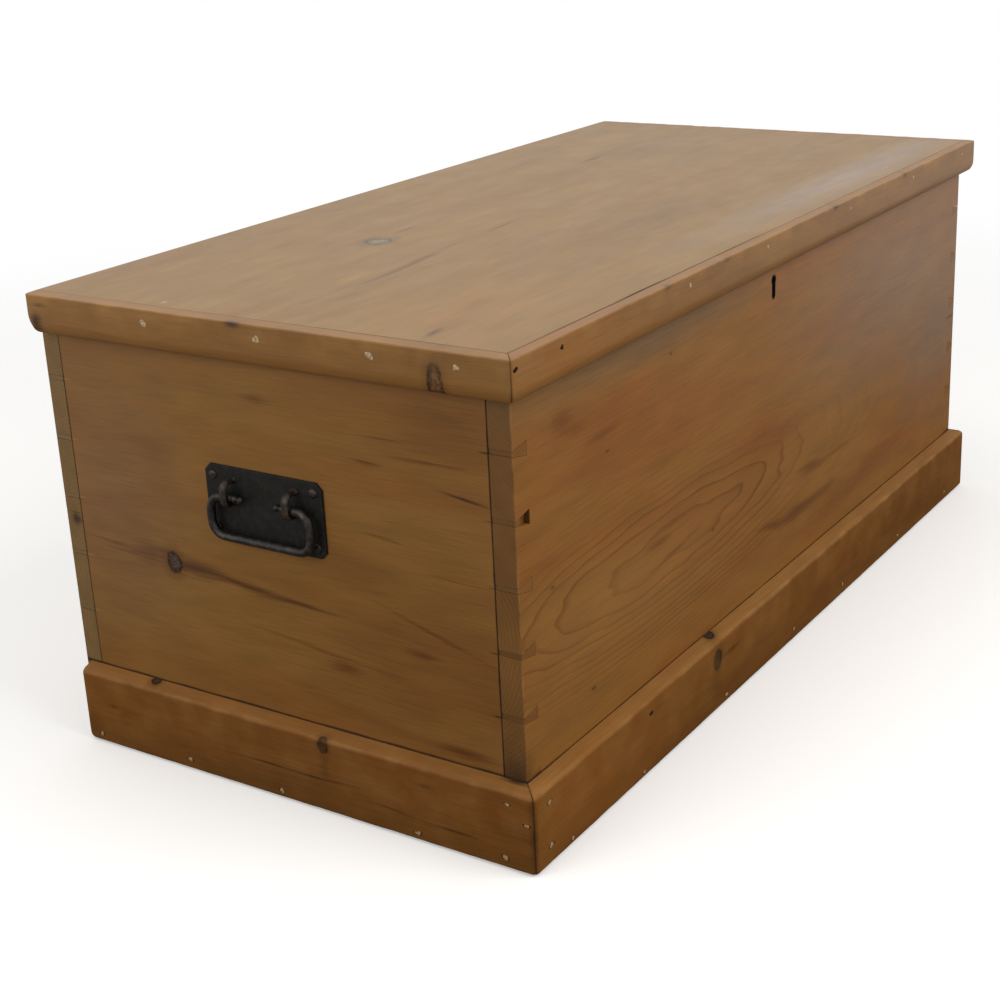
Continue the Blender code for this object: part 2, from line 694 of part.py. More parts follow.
def lock_pocket(front_board):
    """The stepped mortise for plate, selvedge and cap."""
    far = FRONT_INSIDE + CUT_PAST
    top = CASE_TOP + CUT_PAST
    half = LOCK_WIDTH / 2 + FIT_GAP
    cap_half = half - CAP_SIDE_MARGIN
    steps = {"plate": (half, LOCK_FACE - FIT_GAP, CASE_TOP - LOCK_HEIGHT - FIT_GAP),
             "selvedge": (half, FRONT_INSIDE - SELVEDGE_DEPTH - FIT_GAP, CASE_TOP - LOCK_PLATE - FIT_GAP),
             "cap": (cap_half, LOCK_FACE - CAP_DEPTH - FIT_GAP,
                     CASE_TOP - LOCK_HEIGHT + CAP_FOOT_MARGIN - FIT_GAP)}
    for name, (reach, near, foot) in steps.items():
        bed = box((LOCK_X - reach, near, foot), (LOCK_X + reach, far, top))
        cut(front_board, add_cutter("lock_bed_" + name, bed))


def lock_bolt():
    """A bar that slides on the plate, with an arm and a finger for each staple."""
    finger_low = EYE_FOOT + FINGER_PLAY
    finger_high = EYE_FOOT + STAPLE_EYE_HEIGHT - FINGER_PLAY
    finger_reach = BOLT_CLEARANCE + BOLT_TRAVEL
    half = STAPLE_EYE_WIDTH / 2 - FIT_GAP
    tips = [x - STAPLE_THICKNESS / 2 - BOLT_CLEARANCE for x in STAPLE_XS]
    left = tips[0] - finger_reach - BOLT_ARM
    bar = box((left, STAPLE_Y - half, BOLT_BAR_FOOT), (tips[1], LOCK_FACE - FIT_GAP, BOLT_BAR_TOP))
    part = add_part("lock_bolt", bar, STEEL)
    for number, tip in enumerate(tips):
        arm = tip - finger_reach
        root = BOLT_BAR_FOOT + BOLT_BAR_HEIGHT / 2
        crook = [(arm - BOLT_ARM, root), (arm, root), (arm, finger_low), (tip, finger_low),
                 (tip, finger_high), (arm - BOLT_ARM, finger_high)]
        solid = plate([crook], ON_XZ, -STAPLE_Y - half, -STAPLE_Y + half)
        unite(part, add_cutter("bolt_arm_" + str(number), solid))
    return part


def lock_spring():
    """A flat spring bent from the side of the cap up to the underside of the bolt."""
    outer = SPRING_RADIUS + SPRING_THICKNESS
    centre = (LOCK_X - CAP_INSIDE + FIT_GAP + outer, BOLT_BAR_FOOT - FIT_GAP - outer)
    strip = (arc(centre, (outer, outer), 180, 90, 2 * ARC_STEPS)
             + arc(centre, (SPRING_RADIUS, SPRING_RADIUS), 90, 180, 2 * ARC_STEPS))
    solid = plate([strip], ON_XZ, -LOCK_FACE + FIT_GAP, -LOCK_FACE + FIT_GAP + SPRING_WIDTH)
    smooth_round(add_part("lock_spring", solid, STEEL))


def key_pin(plate_part):
    """The pin that a pipe key fits over, riveted in the plate."""
    tip = (LOCK_X, LOCK_FACE - CAP_DEPTH, KEYHOLE_CENTRE)
    tail = (LOCK_X, FRONT_INSIDE, KEYHOLE_CENTRE)
    smooth_round(add_part("lock_key_pin", rod(KEY_PIN_RADIUS, tip, tail), STEEL))
    past = (LOCK_X, FRONT_INSIDE + CUT_PAST, KEYHOLE_CENTRE)
    cut(plate_part, add_cutter("key_pin_hole", rod(KEY_PIN_RADIUS + FIT_GAP, tip, past)))


def lock(front_board):
    plate_part = lock_plate()
    cap = lock_cap()
    lock_pocket(front_board)
    lock_bolt()
    lock_spring()
    key_pin(plate_part)
    keyhole(front_board, cap)
    edge = LOCK_WIDTH / 2 - LOCK_SCREW_INSET
    heads = [(LOCK_X + side * edge, FRONT_INSIDE, CASE_TOP - drop)
             for side in (-1, 1) for drop in LOCK_SCREW_DROPS]
    add_screws("lock_screw", heads, (0, -1, 0), LOCK_SCREW_LENGTH, [plate_part, front_board])


def link_plate(lid_board, hinge):
    """A plate let into the underside of the lid, with two staples that drop into the lock."""
    half = Vector((LINK_LENGTH / 2, LINK_WIDTH / 2, 0))
    middle = Vector((LOCK_X, STAPLE_Y, LID_UNDERSIDE))
    strip = box(middle - half, middle + half + Vector((0, 0, LINK_PLATE)))
    part = add_part("lock_link_plate", strip, STEEL, hinge)
    for number, x in enumerate(STAPLE_XS):
        foot = (x - STAPLE_THICKNESS / 2, STAPLE_Y - STAPLE_WIDTH / 2, LID_UNDERSIDE - STAPLE_DROP)
        top = (x + STAPLE_THICKNESS / 2, STAPLE_Y + STAPLE_WIDTH / 2, LID_UNDERSIDE + LINK_PLATE / 2)
        unite(part, add_cutter("staple_" + str(number), box(foot, top)))
        eye_low = (x - STAPLE_THICKNESS, STAPLE_Y - STAPLE_EYE_WIDTH / 2, EYE_FOOT)
        eye_high = (x + STAPLE_THICKNESS, STAPLE_Y + STAPLE_EYE_WIDTH / 2, EYE_FOOT + STAPLE_EYE_HEIGHT)
        cut(part, add_cutter("staple_eye_" + str(number), box(eye_low, eye_high)))
    gap = Vector((FIT_GAP, FIT_GAP, 0))
    bed = box(middle - half - gap - Vector((0, 0, CUT_PAST)),
              middle + half + gap + Vector((0, 0, LINK_PLATE + FIT_GAP)))
    cut(lid_board, add_cutter("link_bed", bed))
    edge = LINK_LENGTH / 2 - LINK_SCREW_INSET
    heads = [(LOCK_X + side * edge, STAPLE_Y, LID_UNDERSIDE) for side in (-1, 1)]
    add_screws("lock_link_screw", heads, (0, 0, 1), LINK_SCREW_LENGTH, [part, lid_board], hinge)


# Drop handles, drawn with +X pointing out of the end of the case and Z measured from the pivot

def handle_place(side):
    place = Vector((side * CASE_END, CASE_MIDDLE + HANDLE_SHIFT, HANDLE_HEIGHT + PIVOT_RISE))
    turn = 0 if side > 0 else math.pi
    return Matrix.Translation(place) @ Matrix.Rotation(turn, 4, "Z")


def clipped_outline():
    """The back plate's outline, with its corners cut off."""
    half_width = PLATE_WIDTH / 2
    top = PLATE_HEIGHT / 2 - PIVOT_RISE
    foot = top - PLATE_HEIGHT
    clip = PLATE_CLIP
    right = [(half_width - clip, foot), (half_width, foot + clip), (half_width, top - clip),
             (half_width - clip, top)]
    return right + [(-y, z) for y, z in reversed(right)]


def eye_outline():
    """An eye seen along the pivot: a tall loop with a straight foot on the plate. The bail hangs low in it."""
    foot = PLATE_FACE + FIT_GAP
    bore = BAIL_RADIUS + BAIL_PLAY
    loop = (bore + EYE_CROWN, bore + EYE_BAR)
    crown = arc((PIVOT_OUT, 0), loop, -90, 0) + arc((PIVOT_OUT, EYE_SLACK), loop, 0, 90)
    outer = [(foot, -loop[1])] + crown + [(foot, EYE_SLACK + loop[1])]
    low = arc((PIVOT_OUT, 0), (bore, bore), -180, 0, ROUND_SIDES // 2)
    high = arc((PIVOT_OUT, EYE_SLACK), (bore, bore), 0, 180, ROUND_SIDES // 2)
    return [outer, low + high]


def bail_points():
    """One half of the bail's middle line, from its tip through the eye and round to the bottom."""
    half = BAIL_WIDTH / 2
    corner = (BAIL_CORNER, BAIL_CORNER)
    tip = EYE_SPACING / 2 - EYE_THICKNESS / 2 - BAIL_TIP
    shoulder = arc((half - BAIL_CORNER, -BAIL_CORNER), corner, 90, 0)
    heel = arc((half - BAIL_CORNER, BAIL_CORNER - BAIL_DROP), corner, 0, -90)
    return [(tip, 0), (EYE_SPACING / 2, 0)] + shoulder + heel


def bail_mesh():
    half = bail_points()
    line = half + [(-y, z) for y, z in reversed(half)]
    curve = bpy.data.curves.new("bail", "CURVE")
    curve.dimensions = "3D"
    curve.bevel_depth = BAIL_RADIUS
    curve.bevel_resolution = BAIL_BEVEL_RESOLUTION
    curve.use_fill_caps = True
    add_spline(curve, [(PIVOT_OUT, y, z) for y, z in line], False)
    return mesh_from_curve(curve)


def stud(place, play):
    """A round-headed fixing through the plate into the end; play widens it into its hole."""
    crown = [(STUD_HEAD_RADIUS * math.cos(angle), STUD_HEAD_HEIGHT * math.sin(angle))
             for angle in (math.pi / 3, 0)]
    shank = [(STUD_RADIUS, 0), (STUD_RADIUS, -STUD_LENGTH), (0, -STUD_LENGTH)]
    profile = [(0, STUD_HEAD_HEIGHT)] + crown + shank
    if play:
        radius = STUD_RADIUS + play
        foot = -STUD_LENGTH - play
        profile = [(0, CUT_PAST), (radius, CUT_PAST), (radius, foot), (0, foot)]
    return turned(profile, SCREW_SIDES, Matrix.Translation(place) @ Matrix.Rotation(math.pi / 2, 4, "Y"))


def handle(name, side, end_board):
    """Plate, two eyes, four fixings and the bail that swings in the eyes."""
    place = handle_place(side)
    back_plate = plate([clipped_outline()], ON_YZ, FIT_GAP, PLATE_FACE)
    back_plate.transform(place)
    plate_part = add_part(name + "_handle_plate", back_plate, IRON)
    half = EYE_THICKNESS / 2
    for number, y in enumerate((-EYE_SPACING / 2, EYE_SPACING / 2), 1):
        eye = plate(eye_outline(), ON_XZ, y - half, y + half)
        eye.transform(place)
        smooth_round(add_part(name + "_handle_eye_" + str(number), eye, IRON))
    seats = [(PLATE_FACE + FIT_GAP, y * STUD_SPACING_Y / 2, z * STUD_SPACING_Z / 2 - PIVOT_RISE)
             for y in (-1, 1) for z in (-1, 1)]
    for number, seat in enumerate(seats, 1):
        fixing = stud(seat, 0)
        fixing.transform(place)
        smooth_round(add_part(name + "_handle_stud_" + str(number), fixing, IRON))
    holes = group([stud(seat, FIT_GAP) for seat in seats])
    holes.transform(place)
    hole_cutter = add_cutter(name + "_handle_stud_holes", holes)
    cut(plate_part, hole_cutter)
    cut(end_board, hole_cutter)
    bail = bail_mesh()
    bail.transform(place)
    smooth_round(add_part(name + "_handle_bail", bail, BAIL_IRON, None, place @ Vector((PIVOT_OUT, 0, 0))))


def build():
    long = long_boards()
    ends = end_boards()
    bottom_boards()
    plinth()
    hinge = add_empty("lid_hinge", HINGE_AXIS)
    lid_boards = lid(hinge)
    hinges(long["back_upper_board"], lid_boards["back"], hinge)
    lock(long["front_board"])
    link_plate(lid_boards["front"], hinge)
    handle("left", -1, ends["left"])
    handle("right", 1, ends["right"])


build()
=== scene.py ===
"""Looks of a waxed pine blanket chest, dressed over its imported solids. Metres, +Z up, front towards -Y."""
import json
import math

import bmesh
import bpy
from mathutils import Matrix, Vector, noise


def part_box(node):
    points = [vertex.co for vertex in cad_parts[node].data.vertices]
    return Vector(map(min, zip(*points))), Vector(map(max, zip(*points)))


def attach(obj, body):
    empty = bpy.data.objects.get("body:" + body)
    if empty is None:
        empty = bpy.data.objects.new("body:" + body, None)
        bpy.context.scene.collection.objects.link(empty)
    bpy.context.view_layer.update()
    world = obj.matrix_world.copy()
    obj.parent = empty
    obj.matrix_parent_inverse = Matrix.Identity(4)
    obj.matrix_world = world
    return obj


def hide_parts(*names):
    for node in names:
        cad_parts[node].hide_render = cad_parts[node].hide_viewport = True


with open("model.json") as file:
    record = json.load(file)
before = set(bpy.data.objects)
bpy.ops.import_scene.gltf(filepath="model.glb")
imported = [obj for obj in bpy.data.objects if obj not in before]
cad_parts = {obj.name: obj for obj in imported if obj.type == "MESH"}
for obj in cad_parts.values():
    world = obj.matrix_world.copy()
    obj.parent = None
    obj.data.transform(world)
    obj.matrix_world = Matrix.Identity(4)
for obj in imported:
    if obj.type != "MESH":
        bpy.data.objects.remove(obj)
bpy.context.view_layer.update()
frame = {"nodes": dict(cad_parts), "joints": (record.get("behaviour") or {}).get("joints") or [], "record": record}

# Camera, fitted to the edges of the chest in the photograph of 1000 by 1000 pixels
CAMERA_PLACE = Vector((-1.5384, -0.93685, 0.7946))
CAMERA_RIGHT = Vector((0.53139, -0.84618, -0.04010))
CAMERA_AHEAD = Vector((0.79060, 0.51237, -0.33529))
IMAGE_SIZE = 1000
FOCAL_PIXELS = 1741.8
PRINCIPAL_PIXEL = (531.3, 465.2)
SENSOR_MM = 36.0

# Places that the solids give
FRONT_LOW, FRONT_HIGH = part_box("front_board")
BACK_LOW, BACK_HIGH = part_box("back_upper_board")
CASE_END = FRONT_HIGH.x
CASE_FRONT = FRONT_LOW.y
CASE_BACK = BACK_HIGH.y
FRONT_INSIDE = FRONT_HIGH.y
BACK_INSIDE = BACK_LOW.y
DOVETAIL_INSIDE = CASE_END - 0.0225     # just past the end boards' inner faces
LID_BOARD_LOW, LID_BOARD_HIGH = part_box("lid_board_front")
LID_JOINT = (LID_BOARD_HIGH.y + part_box("lid_board_back")[0].y) / 2
PLINTH_LOW, PLINTH_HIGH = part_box("plinth_front")
SIDE_PLINTH_LOW, SIDE_PLINTH_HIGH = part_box("plinth_left")
EDGING_LOW, EDGING_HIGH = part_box("lid_edging_front")
SIDE_EDGING_LOW, SIDE_EDGING_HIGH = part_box("lid_edging_left")
LID_TOP = EDGING_HIGH.z
JOINT_GAP = CASE_FRONT - PLINTH_HIGH.y
PIVOT = {joint["name"].split("_")[0]: Vector(joint["pos_m"]) for joint in frame["joints"]
         if joint["name"].endswith("bail_swing")}
NEAR = 1e-4                 # a spot this near to a face lies on it
NEAR_JOINT = 1e-3           # the same, for the lid's open joint

# Eased edges
BOARD_ARRIS = 0.0002
CORNER_ARRIS = 0.0012
LID_ARRIS = 0.00015
WORN = 0.0003               # the strips' faces have worn back by this much
METAL_ARRIS = 0.0003
SHARP_ANGLE = math.radians(38)
ARRIS_STEPS = 3
MERGE = 1e-5
FINE_MERGE = 1e-6
FLAT_ANGLE = math.radians(0.5)
JOINT_CLOSES = 0.85         # of the lid's open joint

collection = bpy.data.collections.new("blanket_chest")
bpy.context.scene.collection.children.link(collection)


# Materials

def linear(hex_colour):
    """An sRGB hex value as linear red, green, blue and alpha."""
    channels = [int(hex_colour[i:i + 2], 16) / 255 for i in (1, 3, 5)]
    return [c / 12.92 if c <= 0.04045 else ((c + 0.055) / 1.055) ** 2.4 for c in channels] + [1.0]


def add(tree, kind, inputs=None, **settings):
    """A node with its settings. An input takes a value or another node's output. Gives the outputs."""
    node = tree.nodes.new("ShaderNode" + kind)
    for name, value in settings.items():
        setattr(node, name, value)
    for key, value in (inputs or {}).items():
        if isinstance(value, bpy.types.NodeSocket):
            tree.links.new(value, node.inputs[key])
        else:
            node.inputs[key].default_value = value
    return node.outputs


def new_material(name):
    """An empty material with its node tree, its shader and its coordinates."""
    material = bpy.data.materials.new(name)
    material.use_nodes = True
    tree = material.node_tree
    return material, tree, tree.nodes["Principled BSDF"], add(tree, "TexCoord")


# Sockets of a colour Mix node. A Map Range node's are its value (0), where that comes from (1 and 2)
# and where it goes (3 and 4). Noise runs from about 0.3 to 0.7, so a range within that picks out a part.
FACTOR, FIRST, SECOND, MIXED = 0, 6, 7, 2
SMOOTH = {"interpolation_type": "SMOOTHSTEP"}
X, Y, Z = range(3)

# The pine's patterns: length with the grain, width across it, detail and roughness
PATTERNS = {"drift": (0.35, 0.09, 1.0, 0.5), "waver": (0.07, 0.018, 1.0, 0.5),
            "cloud": (0.32, 0.05, 3.0, 0.5),
            "fibre": (0.045, 0.0014, 4.0, 0.6)}  # about three times a resin duct's line, so that it shows
DRIFT_REACH = 0.010
WAVER_REACH = 0.0038
SCUFF_SIZE = 0.03
GRIT_SIZE = 0.0035
LATE_STARTS, LATE_DARKEST = 0.72, 0.95   # of a ring's width
KNOT_REACH, KNOT_PUSH = 3.5, 0.6    # rings bend round a knot from this far, by this much, of its size
CRACK_SPACING = 0.2         # of a knot's size
BROAD = 0.025               # a mark wider than this is a change of tone
SOFT, RAGGED = 0.25, 0.9    # how far the fibres break up a broad mark and a small one
GRAIN_RELIEF = 0.0004

# How strongly these show, from 0 to 1
SLOW_DARKENING, STEEP_DARKENING = 0.2, 0.8
FAINTEST_YEAR = 0.4
FLECKS = 0.5
END_GRAIN, END_RINGS = 0.85, 0.45
KNOT_COVERS, KNOT_STAIN, KNOT_SPOTS, KNOT_CRACKS = 0.95, 0.45, 0.7, 0.45
BARE_INSIDE = 0.75
RUBBED_ARRIS = 0.6
SHEEN_VARIES, DULL_INSIDE, DULL_DIRT = 0.02, 0.3, 0.4

RESIN = "#452208"
BARK = "#24150B"
# A pale wood tone: rubbed arrises and saw marks, and the painted light on faces that look up
PALE_WOOD = "#A87C48"
# A dark tone for grime in joints and marks, and for the painted shadow under the lid's edging
GRIME_AND_SHADOW = "#22150A"
RED = "#84491F"
GREY = "#6E583C"
STREAK = "#5C3210"
RUSSET = "#6C3A14"
WARM = "#6E421A"
LIGHT = "#95632C"
HONEY = "#9A6E38"
KNOT = "#44352C"
DARK_RED = "#4A260E"
LID_STREAK = "#65401C"


def ellipse(tree, spot, grain, outside, centre, size, turn=(0, 0, 0)):
    """How far a spot lies from a mark's centre: 1 on its edge.

    The size is (with the grain, across it, deep). Without a depth, the mark runs right through the board.
    """
    across = [size[0] if axis == grain else size[1] for axis in range(3)]
    across[max(range(3), key=lambda axis: abs(outside[axis]))] = size[2] if len(size) > 2 else 1.0
    near = add(tree, "Mapping", {"Vector": spot, "Location": centre, "Rotation": turn, "Scale": across},
               vector_type="TEXTURE")[0]
    return add(tree, "VectorMath", {0: near}, operation="LENGTH")["Value"]


def pine(name, grain, outside, heart, stretch, ring, tones, depth=0.6, faint=0.35, mottle=0.5, gloss=0.42,
         shine=0.2, top_light=0.0, knots=(), marks=(), clear=None, seams_and_shadows=(), bands=()):
    """Old waxed pine: growth rings round a heart, seen as arches on a face and as arcs on end grain.

    The late wood of each ring is darker and a little proud, and dark flecks follow the fibres. Wax leaves
    a satin sheen on the outside, the inside is bare, end grain is darker, and arrises are rubbed pale. The
    rings show best in the clear part, painted light pales what faces up, grime darkens and dulls the
    joints, a painted shadow line darkens and dulls the case under the lid's edging, and a band takes the
    tone of the end grain that it lies in.
    """
    material, tree, shader, place = new_material(name)
    spot, normal = place["Object"], place["Normal"]
    early, late, flush, bare, end_tone = [linear(tone) for tone in tones]
    drawn = {}
    for pattern, (length, width, detail, roughness) in PATTERNS.items():
        scale = [1 / length if axis == grain else 1 / width for axis in range(3)]
        at = add(tree, "Mapping", {"Vector": spot, "Scale": scale})[0]
        drawn[pattern] = add(tree, "TexNoise", {"Vector": at, "Scale": 1.0, "Detail": detail,
                                                "Roughness": roughness})
    waver, cloud, fibre = [drawn[pattern]["Fac"] for pattern in ("waver", "cloud", "fibre")]
    scuff = add(tree, "TexNoise", {"Vector": spot, "Scale": 1 / SCUFF_SIZE, "Detail": 4.0})["Fac"]

    # Rings round the heart: the log bends slowly, each ring wavers, and knots part them
    drift = add(tree, "VectorMath", {0: drawn["drift"]["Color"], 1: (0.5, 0.5, 0.5)},
                operation="SUBTRACT")[0]
    reach = [0 if axis == grain else DRIFT_REACH for axis in range(3)]
    drift = add(tree, "VectorMath", {0: drift, 1: reach, 2: spot}, operation="MULTIPLY_ADD")[0]
    scale = [stretch if axis == grain else 1 for axis in range(3)]
    from_heart = add(tree, "Mapping", {"Vector": drift, "Location": heart, "Scale": scale},
                     vector_type="TEXTURE")[0]
    radius = add(tree, "VectorMath", {0: from_heart}, operation="LENGTH")["Value"]
    radius = add(tree, "Math", {0: waver, 1: WAVER_REACH, 2: radius}, operation="MULTIPLY_ADD")[0]
    cores = []
    for centre, size, knot_tone, rim_tone in knots:
        away = ellipse(tree, spot, grain, outside, centre, size)
        cores.append((away, linear(knot_tone), linear(rim_tone)))
        push = add(tree, "MapRange", {0: away, 1: 0.0, 2: KNOT_REACH, 3: size[1] * KNOT_PUSH, 4: 0.0},
                   interpolation_type="SMOOTHERSTEP")[0]
        radius = add(tree, "Math", {0: radius, 1: push}, operation="ADD")[0]
    turns = add(tree, "Math", {0: radius, 1: ring}, operation="DIVIDE")[0]
    part = add(tree, "Math", {0: turns}, operation="FRACT")[0]
    slow = add(tree, "MapRange", {0: part, 1: 0.15, 2: LATE_DARKEST, 3: 0.0, 4: SLOW_DARKENING})[0]
    rise = add(tree, "MapRange", {0: part, 1: LATE_STARTS, 2: LATE_DARKEST, 3: 0.0, 4: STEEP_DARKENING},
               **SMOOTH)[0]
    rise = add(tree, "Math", {0: rise, 1: slow}, operation="ADD")[0]
    fall = add(tree, "MapRange", {0: part, 1: LATE_DARKEST, 2: 1.0, 3: 1.0, 4: 0.0}, **SMOOTH)[0]
    rise = add(tree, "Math", {0: rise, 1: fall}, operation="MULTIPLY")[0]
    year = add(tree, "Math", {0: turns}, operation="FLOOR")[0]
    year = add(tree, "TexWhiteNoise", {"W": year}, noise_dimensions="1D")["Value"]
    year = add(tree, "MapRange", {0: year, 3: FAINTEST_YEAR, 4: 1.0})[0]
    fade = add(tree, "MapRange", {0: cloud, 1: 0.36, 2: 0.62, 3: 0.0, 4: depth * faint})[0]
    if clear:
        away = ellipse(tree, spot, grain, outside, *clear)
        away = add(tree, "Math", {0: cloud, 1: 0.8, 2: away}, operation="MULTIPLY_ADD")[0]
        shown = add(tree, "MapRange", {0: away, 1: 0.9, 2: 1.7, 3: depth, 4: 0.0}, **SMOOTH)[0]
        fade = add(tree, "Math", {0: fade, 1: shown}, operation="MAXIMUM")[0]
    late_wood = add(tree, "Math", {0: year, 1: fade}, operation="MULTIPLY")[0]

    # Layers of (how much, tone), each over those before: blush, end grain, rings, flecks, painted top light and
    # bands
    blush = add(tree, "SeparateColor", {0: drawn["cloud"]["Color"]})[1]
    blush = add(tree, "MapRange", {0: blush, 1: 0.42, 2: 0.68, 3: 0.0, 4: mottle})[0]
    along = [1.0 if axis == grain else 0.0 for axis in range(3)]
    crosscut = add(tree, "VectorMath", {0: normal, 1: along}, operation="DOT_PRODUCT")["Value"]
    crosscut = add(tree, "Math", {0: crosscut}, operation="ABSOLUTE")[0]
    crosscut = add(tree, "MapRange", {0: crosscut, 1: 0.6, 2: 0.85, 3: 0.0, 4: END_GRAIN})[0]
    late_wood = add(tree, "Math", {0: crosscut, 1: END_RINGS, 2: late_wood}, operation="MULTIPLY_ADD")[0]
    late_wood = add(tree, "Math", {0: late_wood, 1: rise}, operation="MULTIPLY")[0]
    fleck = add(tree, "MapRange", {0: fibre, 1: 0.58, 2: 0.74, 3: 0.0, 4: FLECKS})[0]
    layers = [(blush, flush), (crosscut, end_tone), (late_wood, late), (fleck, late)]
    # Painted light: faces that look up are made paler, as if lit from above
    if top_light:
        level = add(tree, "SeparateXYZ", {0: normal})[Z]
        level = add(tree, "MapRange", {0: level, 1: 0.3, 2: 0.9, 3: 0.0, 4: top_light})[0]
        layers.append((level, linear(PALE_WOOD)))
    for axis, middle, half, band_tone, strength in bands:
        within = add(tree, "SeparateXYZ", {0: spot})[axis]
        within = add(tree, "Math", {0: within, 1: middle, 2: half}, operation="COMPARE")[0]
        within = add(tree, "Math", {0: within, 1: crosscut}, operation="SUBTRACT", use_clamp=True)[0]
        within = add(tree, "Math", {0: within, 1: strength}, operation="MULTIPLY")[0]
        layers.append((within, linear(band_tone)))

    # Resin streaks, shakes, stains, and some painted reflection and shade: small ones are broken up along the
    # fibres, and broad ones are soft
    dull = []
    for centre, size, tilt, mark_tone, strength in marks:
        rag = SOFT if size[1] > BROAD else RAGGED
        away = ellipse(tree, spot, grain, outside, centre, size, [tilt * abs(side) for side in outside])
        for pattern in (fibre, waver):
            away = add(tree, "Math", {0: pattern, 1: rag, 2: away}, operation="MULTIPLY_ADD")[0]
        mark = add(tree, "MapRange", {0: away, 1: rag - 0.1, 2: rag + 1, 3: strength, 4: 0.0}, **SMOOTH)[0]
        layers.append((mark, linear(mark_tone)))
        if mark_tone == GRIME_AND_SHADOW:
            dull.append(mark)

    # Knots: uneven, cracked cores in a broken rim of bark, with a stain round them
    if cores:
        grit = add(tree, "TexNoise", {"Vector": spot, "Scale": 1 / GRIT_SIZE, "Detail": 3.0,
                                      "Roughness": 0.6})
        grit = add(tree, "SeparateColor", {0: grit["Color"]})
    for away, knot_tone, rim_tone in cores:
        inner = away
        for pattern, uneven in ((grit[0], 0.5), (waver, 0.8)):
            inner = add(tree, "Math", {0: pattern, 1: uneven, 2: inner}, operation="MULTIPLY_ADD")[0]
        inner = add(tree, "Math", {0: inner, 1: 0.65}, operation="SUBTRACT")[0]
        cracks = add(tree, "Math", {0: inner, 1: CRACK_SPACING}, operation="PINGPONG")[0]
        cracks = add(tree, "MapRange", {0: cracks, 1: 0.04, 2: CRACK_SPACING, 3: 0.0, 4: KNOT_CRACKS})[0]
        dark = add(tree, "MapRange", {0: grit[1], 1: 0.45, 2: 0.62, 3: 0.0, 4: KNOT_SPOTS})[0]
        dark = add(tree, "Math", {0: dark, 1: cracks}, operation="MAXIMUM")[0]
        rim = add(tree, "Math", {0: inner, 1: 0.85}, operation="SUBTRACT")[0]
        rim = add(tree, "Math", {0: rim}, operation="ABSOLUTE")[0]
        rim = add(tree, "MapRange", {0: rim, 1: 0.08, 2: 0.32, 3: 1.0, 4: 0.0}, **SMOOTH)[0]
        whole = add(tree, "MapRange", {0: grit[2], 1: 0.36, 2: 0.52, 3: 0.15, 4: 0.95})[0]
        rim = add(tree, "Math", {0: rim, 1: whole}, operation="MULTIPLY")[0]
        core = knot_tone
        for share in (dark, rim):
            core = add(tree, "Mix", {FACTOR: share, FIRST: core, SECOND: rim_tone}, data_type="RGBA")[MIXED]
        mask = add(tree, "MapRange", {0: inner, 1: 0.88, 2: 1.2, 3: KNOT_COVERS, 4: 0.0}, **SMOOTH)[0]
        halo = add(tree, "MapRange", {0: inner, 1: 0.9, 2: 2.2, 3: KNOT_STAIN, 4: 0.0}, **SMOOTH)[0]
        layers += [(halo, late), (mask, core)]

    # Bare inside, rubbed arrises, grime that has settled along the joints, and painted shadow under the lid's
    # edging
    inward = add(tree, "VectorMath", {0: normal, 1: outside}, operation="DOT_PRODUCT")["Value"]
    inward = add(tree, "MapRange", {0: inward, 1: -0.3, 2: -0.6, 3: 0.0, 4: BARE_INSIDE})[0]
    arris = add(tree, "Attribute", attribute_name="arris")["Fac"]
    rubbed = add(tree, "MapRange", {0: scuff, 1: 0.4, 2: 0.7, 3: 0.0, 4: RUBBED_ARRIS})[0]
    rubbed = add(tree, "Math", {0: rubbed, 1: arris}, operation="MULTIPLY")[0]
    layers += [(inward, bare), (rubbed, linear(PALE_WOOD))]
    # Each line darkens with grime; the one along the foot of the lid's edging is painted shadow
    for axis, middle, width, strength in seams_and_shadows:
        gap = add(tree, "SeparateXYZ", {0: spot})[axis]
        gap = add(tree, "Math", {0: gap, 1: middle}, operation="SUBTRACT")[0]
        gap = add(tree, "Math", {0: gap}, operation="ABSOLUTE")[0]
        gap = add(tree, "Math", {0: scuff, 1: -width, 2: gap}, operation="MULTIPLY_ADD")[0]
        dirt = add(tree, "MapRange", {0: gap, 1: -0.2 * width, 2: 0.5 * width, 3: strength, 4: 0.0},
                   **SMOOTH)[0]
        layers.append((dirt, linear(GRIME_AND_SHADOW)))
        dull.append(dirt)
    dirt = add(tree, "Attribute", attribute_name="grime")["Fac"]
    layers.append((dirt, linear(GRIME_AND_SHADOW)))
    dull.append(dirt)

    tone = early
    for share, over in layers:
        tone = add(tree, "Mix", {FACTOR: share, FIRST: tone, SECOND: over}, data_type="RGBA")[MIXED]
    shade = add(tree, "MapRange", {0: fibre, 1: 0.3, 2: 0.7, 3: 0.85, 4: 1.12})[0]
    streaks = add(tree, "MapRange", {0: waver, 1: 0.3, 2: 0.7, 3: 0.92, 4: 1.07})[0]
    shade = add(tree, "Math", {0: shade, 1: streaks}, operation="MULTIPLY")[0]
    tone = add(tree, "VectorMath", {0: tone, "Scale": shade}, operation="SCALE")[0]
    tree.links.new(tone, shader.inputs["Base Color"])

